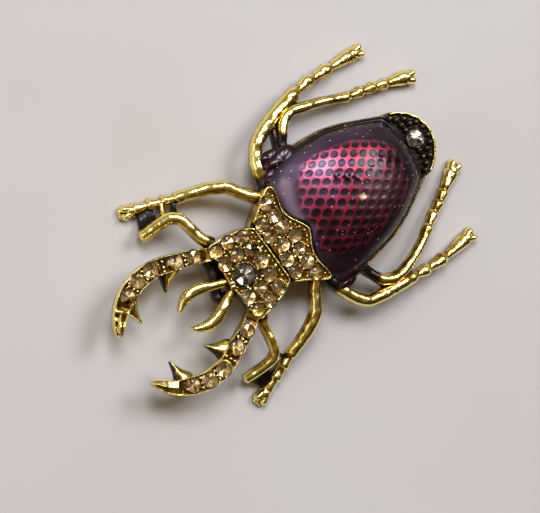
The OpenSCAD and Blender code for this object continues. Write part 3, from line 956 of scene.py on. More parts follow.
def edge_spots(line: Array, stones: Setting, taken: Array, high_y: float = FAR_OFF) -> Array:
    """Places of the beads between a plate's rim and its outer stones.

    Args:
        line: the plate's outline, evenly stepped.
        stones: the plate's stones.
        taken: places of the beads that are there already.
        high_y: y above which there are none.

    Returns:
        x, y and z of those beads and then of the added ones.
    """
    insets, clear, apart = (0.72, 1.25), 0.16, 0.72
    out = outward_ways(line, line.mean(0))
    spots = np.vstack([line - out * inset for inset in insets])
    away = (np.linalg.norm(spots[:, None] - stones.at[None, :, :2], axis=-1) - stones.diameter / 2).min(1)
    kept = [*taken[:, :2]]
    for spot in spots[(away > clear) & (spots[:, 1] < high_y)]:
        if min(np.linalg.norm(spot - k) for k in kept) > apart:
            kept.append(spot)
    return at_height(np.array(kept), taken[0, 2])


@dataclass
class Limb:
    """One limb of the casting: a section carried along rows of x, y, underside z, width and height.

    The two side fields are +1 or -1 for a side of the section and 0 for none: the first darkens that whole
    flank as painted shade, and the second darkens it in patches as painted shade.
    """

    rows: Array
    section: Array
    soft: float = 0.45
    crisp: float = 0.1
    step: float = 0.14
    blunt_start: float = 0.0
    blunt_end: float = 0.45
    low: float = Gold.SIDE.value
    high: float = Gold.RIDGE.value
    dark_start: float = 0.0
    stones: Setting | None = None
    crest: float = 0.0
    pits: Sequence[tuple[float, float, float]] = ()
    shaded_side: int = 0
    patchy_shade_side: int = 0
    neck_dark: float = 0.75
    side_shade: float = 0.95
    patchy_shade: float = 0.45
    pit_deep: float = 0.45

    def skin(self) -> Skin:
        """Carries the section along the path and closes both ends round.

        Two sine waves along the limb, of 3% and 2%, ripple its height.

        Returns:
            The limb with its mask "wear".
        """
        line = open_line(self.rows, self.step, self.soft, self.crisp)
        along = unit(np.gradient(line[:, :2], axis=0))
        side = np.stack([-along[:, 1], along[:, 0]], 1)
        place = travelled(line[:, :3])
        size = self.rounding(place, self.blunt_start) * self.rounding(place[-1] - place, self.blunt_end)
        across = self.section[None, :, 0] * (line[:, 3] / 2 * size)[:, None]
        ripple = 1 + 0.03 * np.sin(place * 1.7) + 0.02 * np.sin(place * 3.1 + 1.0)
        tall = line[:, 4] * ripple * size
        middle = line[:, 2] + line[:, 4] * 0.5 * (1 - size)
        up = middle[:, None] + self.section[None, :, 1] * tall[:, None]
        grid = at_height(line[:, None, :2] + side[:, None] * across[..., None], up)
        # polish, with painted shade on any chosen flank
        wear = self.wear(line, place)
        if self.stones is not None:
            wear = self.seat(self.stones, grid, wear, float(line[0, 2] + line[0, 4]), place / place[-1])
        return closed_tube(grid, {"wear": wear})

    def seat(self, stones: Setting, grid: Array, wear: Array, top: float, share: Array) -> Array:
        """Sinks the stones' seats and the pits into the limb's top and raises their collars and its crest.

        Args:
            stones: the limb's stones.
            grid: the limb's points, whose heights are changed.
            wear: polish at each point.
            top: height of the limb's top.
            share: how far along the limb each ring lies, from 0 to 1.

        Returns:
            The changed polish.
        """
        crest_start, crest_full = 0.6, 0.8
        inner_x, inner_fade, inner_z = 0.85, 0.1, 0.85
        depth, collar, near = stones.worked(grid[..., :2], top)
        off = np.abs(self.section[None, :, 0])
        inner = np.clip((inner_x - off) / inner_fade, 0, 1) * (self.section[None, :, 1] > inner_z)
        tip = smoothstep(crest_start, crest_full, share)[:, None]
        crest = inner * self.crest * tip * (1 - off) * (1 - near)
        lift = crest + 0.14 * collar * inner - 0.1 * near * inner
        seats = np.minimum(grid[..., 2], top - depth)
        grid[..., 2] = np.where((depth > 0) & (inner > 0), seats, grid[..., 2] + lift)
        wear = np.clip(wear - inner * near * (0.75 - 0.5 * collar), 0, 1)
        for x, y, wide in self.pits:
            pit = hill(grid, x, y, wide, wide) * (inner > 0)
            grid[..., 2] -= self.pit_deep * pit
            wear = wear * (1 - 0.9 * pit)
        return wear

    @staticmethod
    def rounding(place: Array, blunt: float) -> Array:
        """Quarter-circle narrowing of an end.

        Args:
            place: how far each ring lies from the end.
            blunt: length of the narrowing; at zero there is none.

        Returns:
            The share of its size that each ring keeps.
        """
        least = 0.02
        if blunt <= 0:
            return np.ones(len(place))
        return np.sqrt(np.clip(1 - (1 - np.clip(place / blunt, 0, 1)) ** 2, least, 1))

    def wear(self, line: Array, place: Array) -> Array:
        """Polish, which rises with height and drops in the necks between swellings.

        Two sine waves along the limb break the painted shade on its patchy side into patches.

        Args:
            line: the evenly stepped rows.
            place: how far along the limb each row lies.

        Returns:
            The polish at each point of the limb's grid.
        """
        x, z = self.section[None, :, 0], self.section[None, :, 1]
        even_w = blurred(line[:, 3:4], 0.7 / self.step, False)[:, 0]
        neck = smoothstep(0.02, 0.3, (even_w - line[:, 3]) / even_w)[:, None]
        worn = self.low + (self.high - self.low) * smoothstep(0.25, 0.8, z + 0 * line[:, :1])
        root = 1.0
        if self.dark_start:
            root = falling(0.0, 1.0, (self.dark_start - place) / 1.2 + 0.5)[:, None]
        # painted shade over the whole of one chosen flank
        shaded_flank = smoothstep(0.1, 0.5, self.shaded_side * x)
        patches = 0.5 + 0.3 * np.sin(0.8 * place + 0.7) + 0.2 * np.sin(1.9 * place)
        # painted shade in patches on the second chosen flank
        patchy_shade_mask = smoothstep(0.05, 0.45, self.patchy_shade_side * x) * patches[:, None]
        return worn * (1 - self.neck_dark * neck) * root * (1 - self.side_shade * shaded_flank) * (
            1 - self.patchy_shade * patchy_shade_mask)


def set_section(count: int, rim: float, ground: float) -> Array:
    """Section with a broad sunken top between two thin rims, for stones.

    Args:
        count: points across the sunken top.
        rim: width of a rim as a share of half the width.
        ground: height of the sunken top as a share of the height.

    Returns:
        Shares of half width and of height, one row for each point.
    """
    top = np.stack([np.linspace(1 - 1.9 * rim, 1.9 * rim - 1, count), np.full(count, ground)], 1)
    right = np.array([[0.8, 0.02], [0.95, 0.2], [1.0, 0.45], [0.99, 0.75], [0.97, 0.93], [0.93, 1.0],
                      [1 - rim, 1.02], [1 - 1.35 * rim, 0.99]])
    left = right[::-1] * [-1, 1]
    return np.vstack([right, top, left, [[-0.4, 0.0], [0.4, 0.0]]])


LEG_SECTION = ridge_section(21, 0.25, 0.95, 0.8)
JAW_SECTION = set_section(25, 0.09, 0.93)
TOOTH_SECTION = ridge_section(17, 0.25, 1.3, 0.9)


class Foot(Enum):
    """How a leg ends."""

    PLAIN = "plain"
    FORKED = "two claws"
    TIED = "two claws tied by a toe"


@dataclass(frozen=True)
class Leg:
    """One kind of leg, its bends given as shares of its reach, length, drop and width."""

    kind: str
    right: Shares
    left: Shares
    root: tuple[float, float]
    reach: float
    length: float
    heading: int
    dark_start: float
    foot: Foot = Foot.FORKED
    drop: float = 1.0
    left_w: float = 1.0

    def rows(self, side: int, s: Sizes) -> Array:
        """Works out the leg of one side; heading is +1 to the jaws and -1 to the tail.

        Args:
            side: +1 for the right side and -1 for the left.
            s: the brooch's sizes.

        Returns:
            Rows in millimetres, as a Limb takes them.
        """
        part = np.array(self.right if side > 0 else self.left)
        root_z = s.flange_top + 0.3 - s.leg_h
        return np.stack([
            side * (self.root[0] + self.reach * part[:, 0]),
            self.root[1] + self.heading * self.length * part[:, 1],
            root_z * (1 - self.drop * part[:, 2]),
            1.08 * s.leg_w * part[:, 3] * (1.0 if side > 0 else self.left_w),
            s.leg_h * (0.55 + 0.45 * part[:, 3])], 1)


@dataclass
class Legs:
    """The eight legs with their webs and forked feet."""

    sizes: Sizes
    gold: bpy.types.Material
    web_h: float = 1.05

    # share of reach, share of length, share of drop, share of width
    FRONT = (
        (-0.12, -0.1, 0, 1), (0.12, 0.02, 0.02, 0.9), (0.5, 0.07, 0.08, 0.86), (0.83, 0.12, 0.16, 0.95),
        (0.98, 0.28, 0.34, 1), (1, 0.58, 0.66, 0.98), (0.99, 0.88, 0.95, 0.95), (0.98, 1.0, 1, 0.9))
    MID = (
        (-0.1, -0.06, 0, 1.1), (0.04, 0.02, 0.02, 1), (0.22, 0.09, 0.06, 0.9), (0.39, 0.14, 0.1, 1.02),
        (0.54, 0.28, 0.26, 1.0), (0.64, 0.43, 0.44, 0.9), (0.7, 0.53, 0.58, 0.95), (0.715, 0.55, 0.6, 0.62),
        (0.78, 0.63, 0.71, 1.0), (0.79, 0.65, 0.73, 0.66), (0.86, 0.74, 0.84, 1.05), (0.87, 0.76, 0.86, 0.7),
        (0.93, 0.85, 0.96, 1.0), (0.96, 0.9, 1, 1.1))
    OUTER_RIGHT = (
        (-0.4, -0.02, 0, 1.1), (0.26, 0.03, 0.03, 1), (0.57, 0.1, 0.06, 0.98), (0.72, 0.205, 0.12, 1.05),
        (0.82, 0.335, 0.26, 1.05), (0.88, 0.47, 0.42, 1.08), (0.89, 0.52, 0.47, 0.66),
        (0.9, 0.595, 0.56, 1.06), (0.87, 0.64, 0.61, 0.66), (0.84, 0.726, 0.7, 1.08),
        (0.82, 0.77, 0.75, 0.66), (0.76, 0.885, 0.92, 1.05), (0.72, 0.95, 1, 1.2))
    OUTER_LEFT = (
        (-0.3, -0.03, 0, 1.1), (0.1, 0, 0.02, 1), (0.49, 0.044, 0.04, 1), (0.75, 0.1, 0.07, 0.98),
        (0.86, 0.22, 0.14, 1.02), (0.93, 0.34, 0.27, 1.05), (0.99, 0.42, 0.38, 1.02),
        (1.01, 0.455, 0.43, 0.66), (1.07, 0.52, 0.52, 1.04), (1.09, 0.55, 0.56, 0.66),
        (1.13, 0.645, 0.67, 1.08), (1.145, 0.68, 0.71, 0.66), (1.15, 0.8, 0.9, 1.05),
        (1.15, 0.865, 1, 1.2))
    INNER_RIGHT = (
        (-0.22, -0.03, 0, 1.1), (0.04, 0.01, 0.02, 0.9), (0.31, 0.05, 0.06, 0.8), (0.59, 0.095, 0.1, 0.95),
        (0.79, 0.15, 0.15, 0.95), (0.82, 0.215, 0.22, 0.9), (0.67, 0.29, 0.3, 0.82), (0.46, 0.4, 0.42, 0.74),
        (0.2, 0.51, 0.54, 0.74), (0.07, 0.56, 0.6, 0.9), (0.04, 0.58, 0.62, 0.6), (-0.06, 0.65, 0.69, 0.95),
        (-0.09, 0.67, 0.71, 0.62), (-0.2, 0.735, 0.77, 0.98), (-0.24, 0.755, 0.79, 0.64),
        (-0.35, 0.81, 0.84, 0.98), (-0.39, 0.83, 0.86, 0.66), (-0.54, 0.92, 0.93, 1.1),
        (-0.63, 0.955, 0.95, 1.2))
    INNER_LEFT = (
        (-0.28, -0.02, 0, 1.1), (0.13, 0.007, 0.02, 0.9), (0.44, 0.03, 0.06, 0.8), (0.75, 0.063, 0.1, 1),
        (0.93, 0.126, 0.16, 0.95), (0.96, 0.2, 0.22, 0.9), (0.89, 0.265, 0.29, 0.84),
        (0.8, 0.34, 0.37, 0.78), (0.63, 0.43, 0.47, 0.74), (0.44, 0.505, 0.56, 0.9),
        (0.39, 0.522, 0.58, 0.6), (0.24, 0.585, 0.66, 0.96), (0.19, 0.604, 0.68, 0.62),
        (0.09, 0.655, 0.73, 0.96), (0.055, 0.674, 0.75, 0.64), (-0.055, 0.72, 0.8, 0.98),
        (-0.11, 0.737, 0.82, 0.66), (-0.3, 0.82, 0.92, 1.1), (-0.4, 0.86, 0.95, 1.2))

    # webs between two legs: each leg's kind and the two rows that the web spans, and its lift
    WEBS = (
        ("front", (3, 4), "middle", (6, 7), -0.1), ("front", (5, 7), "middle", (9, 12), -0.1),
        ("outer_hind", (4, 5), "inner_hind", (5, 6), 0.0))
    # black struts that prop the outer hind legs from the cup: x and y
    STRUTS = {
        1: ((9.6, -2.9), (11.6, -3.8), (13.3, -4.6), (15.2, -5.5)),
        -1: ((-9.6, -3.2), (-11.8, -4.0), (-14.0, -4.9), (-16.6, -5.8))}
    # bridge of metal left between the front and middle leg on the right side: x, y, underside
    BRIDGE = ((17.0, 15.6, 1.5), (15.9, 16.4, 2.0), (15.2, 16.8, 2.3), (14.2, 17.5, 3.1))

    def kinds(self) -> tuple[Leg, ...]:
        """The kinds of leg from front to rear: bends, root, reach, length, heading and dark root.

        Returns:
            One leg of each kind.
        """
        s = self.sizes
        return (
            Leg("front", self.FRONT, self.FRONT, (s.head_w / 2 + 0.5, s.head_front - 1.2),
                6.5, 7.5, 1, 1.0, Foot.PLAIN, drop=0.55, left_w=0.84),
            Leg("middle", self.MID, self.MID, (s.pronotum_w / 2 - 0.5, s.pronotum_len / 2),
                10.1, 18.5, 1, 0.6, Foot.TIED),
            Leg("outer_hind", self.OUTER_RIGHT, self.OUTER_LEFT, (s.cup_w / 2 - 1, 0.06 * s.cup_len),
                7.6, 27.4, -1, 3.2),
            Leg("inner_hind", self.INNER_RIGHT, self.INNER_LEFT, (s.cup_w / 2 - 0.5, -0.175 * s.cup_len),
                5.4, 27.0, -1, 5.0))

    def claws(self, rows: Array, foot: Foot) -> list[Skin]:
        """Two short prongs that fork from a palm at the end of a leg, and the toe that may tie them.

        Args:
            rows: the leg's rows.
            foot: how the leg ends.

        Returns:
            A skin for each part of the foot, none for a plain end.
        """
        if foot is Foot.PLAIN:
            return []
        s = self.sizes
        end, low = rows[-1, :2], rows[-1, 2]
        ahead = unit(end - rows[-2, :2])
        aside = np.array([-ahead[1], ahead[0]])
        half = s.claw_spread / 2 - 0.2 * s.leg_w
        heel, claw = ahead * 0.9, ahead * s.claw_len

        def part(spots: Sequence[tuple[Array, float, float]], **ends: float) -> Skin:
            """A limb through spots of place, width and height, the last two as shares of a leg's."""
            return Limb(np.array([[*at, low, w * s.leg_w, h * s.leg_h] for at, w, h in spots]), LEG_SECTION,
                        **ends).skin()

        palm = ((end - heel, 0.9, 1.08), (end + ahead * 0.1, 1.15, 1.12), (end + 0.55 * claw, 1.0, 0.95))
        skins = [part(palm, soft=0.25, crisp=0.3, blunt_start=0.4, blunt_end=0.6)]
        tips = [end + claw + aside * turn * half for turn in (-1, 1)]
        for turn, tip in zip((-1, 1), tips):
            start = end - heel + aside * turn * 0.2
            bend = end + 0.35 * claw + aside * turn * half * 0.55
            prong = ((start, 0.7, 1.0), (bend, 0.72, 1.04), (tip, 0.6, 1.0))
            skins.append(part(prong, soft=0.25, crisp=0.2, blunt_end=0.6))
        if foot is Foot.TIED:
            skins.append(part([(tip, 0.36, 0.5) for tip in tips], soft=0.1, blunt_start=0.3, blunt_end=0.3))
        return skins

    def web(self, one: Array, two: Array, lift: float) -> Skin:
        """Thin sloping web between two stretches of limb, dark with patina.

        A grid runs from the first stretch to the second; its lower side is
        the same grid let down by the web's height.

        Args:
            one: the two ends of the first stretch.
            two: the two ends of the second.
            lift: how far the web lies above the stretches' undersides.

        Returns:
            The closed web.
        """
        waist, sag = 0.28, 0.6
        along = np.linspace(0, 1, 14)[:, None]
        first = one[0] + (one[1] - one[0]) * along
        second = two[0] + (two[1] - two[0]) * along
        across = np.linspace(0, 1, 8)[None, :, None]
        middle = (one[0] + one[1] + two[0] + two[1]) / 4
        bow = np.sin(np.pi * across)
        top = first[:, None] + (second - first)[:, None] * across
        top = top + (middle - top) * waist * bow * np.abs(2 * along[:, None] - 1)
        top = top + np.array([0, 0, lift + self.web_h]) - np.array([0, 0, sag]) * bow
        low = top - np.array([0, 0, self.web_h])
        ring = np.concatenate([top, low[:, ::-1]], axis=1)
        return closed_tube(ring, {"wear": np.full(ring.shape[:2], Gold.PATINA.value)})

    def build(self) -> None:
        """Makes a piece of each leg, with its claws, and one of all webs."""
        s = self.sizes
        webs = []
        for side, word in SIDES:
            rows = {}
            for leg in self.kinds():
                bends = rows[leg.kind] = leg.rows(side, s)
                # the flank that faces the body gets patchy painted shade
                limb = Limb(bends, LEG_SECTION, dark_start=leg.dark_start, patchy_shade_side=leg.heading * side)
                whole = Skin.joined([limb.skin(), *self.claws(bends, leg.foot)])
                cast_piece(f"{leg.kind}_leg_{word}", whole, s, self.gold)
            for one, one_span, two, two_span, lift in self.WEBS:
                webs.append(self.web(rows[one][[*one_span], :3], rows[two][[*two_span], :3], lift))
            strut = [[x, y, s.back_z + 0.2 - 0.25 * k, 0.75 * s.leg_w, 0.8 * s.leg_h]
                     for k, (x, y) in enumerate(self.STRUTS[side])]
            webs.append(Limb(np.array(strut), LEG_SECTION, soft=0.6, low=0.02, high=0.14).skin())
        bridge = np.array([[*p, 0.4 * s.leg_w, 0.5 * s.leg_h] for p in self.BRIDGE])
        webs.append(Limb(bridge, LEG_SECTION, soft=0.4, blunt_start=0.3, blunt_end=0.3).skin())
        cast_piece("leg_webs", Skin.joined(webs), s, self.gold)


@dataclass
class Jaws:
    """Both jaws with their teeth, and the two feelers between them."""

    sizes: Sizes
    gold: bpy.types.Material
    feeler_h: float = 0.9

    # share of reach, share of length, share of width
    JAW = (
        (0.5, -0.1, 0.8), (0.62, 0.02, 0.74), (0.73, 0.12, 0.82), (0.85, 0.27, 0.96), (0.96, 0.4, 0.94),
        (1, 0.54, 1.02), (0.96, 0.67, 1.06), (0.86, 0.79, 0.98), (0.72, 0.89, 0.8), (0.57, 0.955, 0.56),
        (0.44, 1.0, 0.3))
    TEETH = (
        ((0.88, 0.33, 0.9), (0.82, 0.345, 1.5), (0.76, 0.37, 1.2), (0.69, 0.4, 0.66), (0.61, 0.43, 0.38),
         (0.52, 0.46, 0.14)),
        ((0.86, 0.765, 0.8), (0.8, 0.767, 1.2), (0.72, 0.77, 1.2), (0.61, 0.77, 0.64), (0.5, 0.77, 0.36),
         (0.37, 0.768, 0.14)))
    # which side of each tooth gets painted shade, on the right jaw and on the left
    SHADED_SIDES = {1: (-1, 0), -1: (1, 1)}
    # pits left unset at the tip of the right jaw: x, y and spread
    PITS = ((8.2, 32.2, 0.34), (7.3, 33.1, 0.34), (6.4, 34.0, 0.32))
    # black strap under the feelers, from the right jaw back to the head: x and y
    STRAP = ((6.4, 15.0), (5.6, 16.2), (3.9, 16.0), (2.2, 16.5), (0.6, 17.5), (-0.9, 18.6), (-1.4, 17.0),
             (-1.6, 15.4))
    # side offset and place along it as shares of its length, share of width, share of lift
    FEELER = (
        (0.04, -0.12, 0.9, 0), (0.13, 0.1, 0.8, 0), (0.24, 0.33, 0.95, 0.1), (0.32, 0.52, 1.05, 0.1),
        (0.33, 0.7, 1, 0), (0.27, 0.86, 0.75, -0.1), (0.17, 1, 0.24, -0.3))

    @property
    def jaw_z(self) -> float:
        """Underside of the jaws."""
        return self.sizes.head_top - 0.4 - self.sizes.jaw_h

    def rows(self, side: int, shares: Shares, start: float, reach: float, length: float,
             low: Array | float, wide: float, tall: Array | float) -> Array:
        """Rows in millimetres from shares of reach, length and width.

        Args:
            side: +1 for the right side and -1 for the left.
            shares: share of reach, of length and of width, and any others.
            start: y that the length starts from.
            reach: how far out a share of one lies.
            length: how far ahead a share of one lies.
            low: height of the underside.
            wide: width at a share of one.
            tall: height of the section.

        Returns:
            Rows as a Limb takes them.
        """
        out, ahead, width = np.array(shares).T[:3]
        return np.stack(np.broadcast_arrays(
            side * reach * out, start + length * ahead, low, wide * width, tall), 1)

    def prongs(self, at: Array) -> Array:
        """Three beads across the middle of each space between two stones.

        Args:
            at: the stones' places in order.

        Returns:
            x, y and z of each bead.
        """
        sides = np.array([-0.75, 0.1, 0.8])
        middle = (at[1:, :2] + at[:-1, :2]) / 2
        ahead = unit(at[1:, :2] - at[:-1, :2])
        aside = np.stack([-ahead[:, 1], ahead[:, 0]], 1)
        flat = (middle[:, None] + aside[:, None] * sides[None, :, None]).reshape(-1, 2)
        return at_height(flat, self.jaw_z + self.sizes.jaw_h - 0.1)

    def jaw(self, side: int, word: str) -> Skin:
        """One jaw with its beads and teeth.

        Args:
            side: +1 for the right side and -1 for the left.
            word: the side's name.

        Returns:
            The jaw's skin.
        """
        s = self.sizes
        span = (s.head_front - 0.4, s.jaw_reach, s.jaw_len)
        names = [f"mandible_stone_{word}_{k}" for k in JAW_STONES]
        stones = Setting.of_nodes(names, s.mid_y, Stones.jaw_spread)
        rows = self.rows(side, self.JAW, *span, self.jaw_z, s.jaw_w, s.jaw_h)
        pits = self.PITS if side > 0 else ()
        skins = [
            Limb(rows, JAW_SECTION, soft=0.9, crisp=0.8, blunt_end=0.9, low=0.5, stones=stones, crest=0.4,
                 pits=pits).skin(),
            dome_bead(stones.bead_spots(self.jaw_z + s.jaw_h - 0.08, 7), stones.bead_r, 0.8, 1.0),
            dome_bead(self.prongs(stones.at), 0.3, 0.7, 1.0)]
        # dark is the side of the tooth that gets painted shade
        for tooth, dark in zip(self.TEETH, self.SHADED_SIDES[side]):
            tall = s.jaw_h * (0.9 - 0.1 * np.arange(len(tooth)))
            rows = self.rows(side, tooth, *span, self.jaw_z + 0.1, s.jaw_w, tall)
            skins.append(Limb(rows, TOOTH_SECTION, soft=0.3, crisp=0.3, blunt_end=0.25, low=0.3,
                              shaded_side=dark).skin())
        return Skin.joined(skins)

    def build(self) -> None:
        """Makes a piece of each jaw, of each feeler and of the strap."""
        s = self.sizes
        tall = self.feeler_h * s.feeler_w
        lift = np.array(self.FEELER)[:, 3]
        for side, word in SIDES:
            cast_piece(f"jaw_{word}", self.jaw(side, word), s, self.gold)
            rows = self.rows(side, self.FEELER, s.head_front, s.feeler_len, s.feeler_len,
                             s.head_top - tall - 0.2 + tall * lift, 1.2 * s.feeler_w, tall)
            feeler = Limb(rows, LEG_SECTION, soft=0.8, crisp=0.4, blunt_end=0.6, dark_start=1.6).skin()
            cast_piece(f"feeler_{word}", feeler, s, self.gold)
        strap = np.array([[x, y, s.back_z + 0.2, 0.9 * s.leg_w, 1.3] for x, y in self.STRAP])
        band = Limb(strap, LEG_SECTION, soft=0.8, low=0.02, high=0.1)
        cast_piece("feeler_strap", band.skin(), s, self.gold)


@dataclass
class Plate:
    """A plate of the body: a closed outline with a worked top, upright walls and a hollow back."""

    name: str
    outline: Array
    centre: tuple[float, float]
    top: float
    relief: Relief
    sizes: Sizes
    soft: float = 0.35
    around: int = 420
    rings: int = 90
    roof: float = 1.6
    # y beyond which the walls are painted dark: painted shade, and on the head's front partly patina as well
    shaded_walls_from: float = FAR_OFF
    wall_rings: int = 12

    def skin(self) -> Skin:
        """Works out the plate as rings round its centre.

        The top runs from the centre to the outline, the wall bulges a little
        on its way down, and the underside steps in by the wall's thickness
        and rises into the hollow.

        Returns:
            The plate with its mask "wear".
        """
        s = self.sizes
        chamfer, bead, bulge = 0.15, 0.3, 0.05
        line = closed_line(self.outline, self.around, self.soft)
        middle = np.array(self.centre)
        spoke = line - middle
        share = np.linspace(0.02, 1.0, self.rings) ** 0.85
        flat = middle + spoke[None] * share[:, None, None]
        out = outward_ways(line, middle)
        lift, worn = self.relief(flat, (1 - share)[:, None] * np.einsum("ij,ij->i", out, spoke)[None])
        top = at_height(flat, self.top + lift)
        rim_z = top[-1, :, 2]
        wall = [at_height(line + out * (bulge * np.sin(np.pi * w) + 0.03), rim_z + (s.back_z - rim_z) * w)
                for w in np.linspace(0.04, 1.0, self.wall_rings)]
        steps = ((bead, 0.0), (s.wall, 0.0), (s.wall + chamfer, self.top - self.roof - s.back_z))
        under = [at_height(line - out * d, s.back_z + z) for d, z in steps]
        inner = under[-1][:, :2] - middle
        roof = [at_height(middle + inner * k, self.top - self.roof) for k in (0.7, 0.35, 0.05)]
        grid = np.concatenate([top, wall, under, roof])
        wear = np.full(grid.shape[:2], Gold.DULL.value)
        wear[:self.rings] = worn
        # walls past that y get painted shade
        dark = smoothstep(self.shaded_walls_from - 0.4, self.shaded_walls_from + 0.2, line[:, 1])
        fading = np.linspace(0.75, 0.45, self.wall_rings)[:, None]
        wear[self.rings:self.rings + self.wall_rings] = fading * (1 - 0.95 * dark)
        return closed_tube(grid, {"wear": wear})

    def build(self, gold: bpy.types.Material) -> None:
        """Makes the plate's piece."""
        cast_piece(self.name, self.skin(), self.sizes, gold)


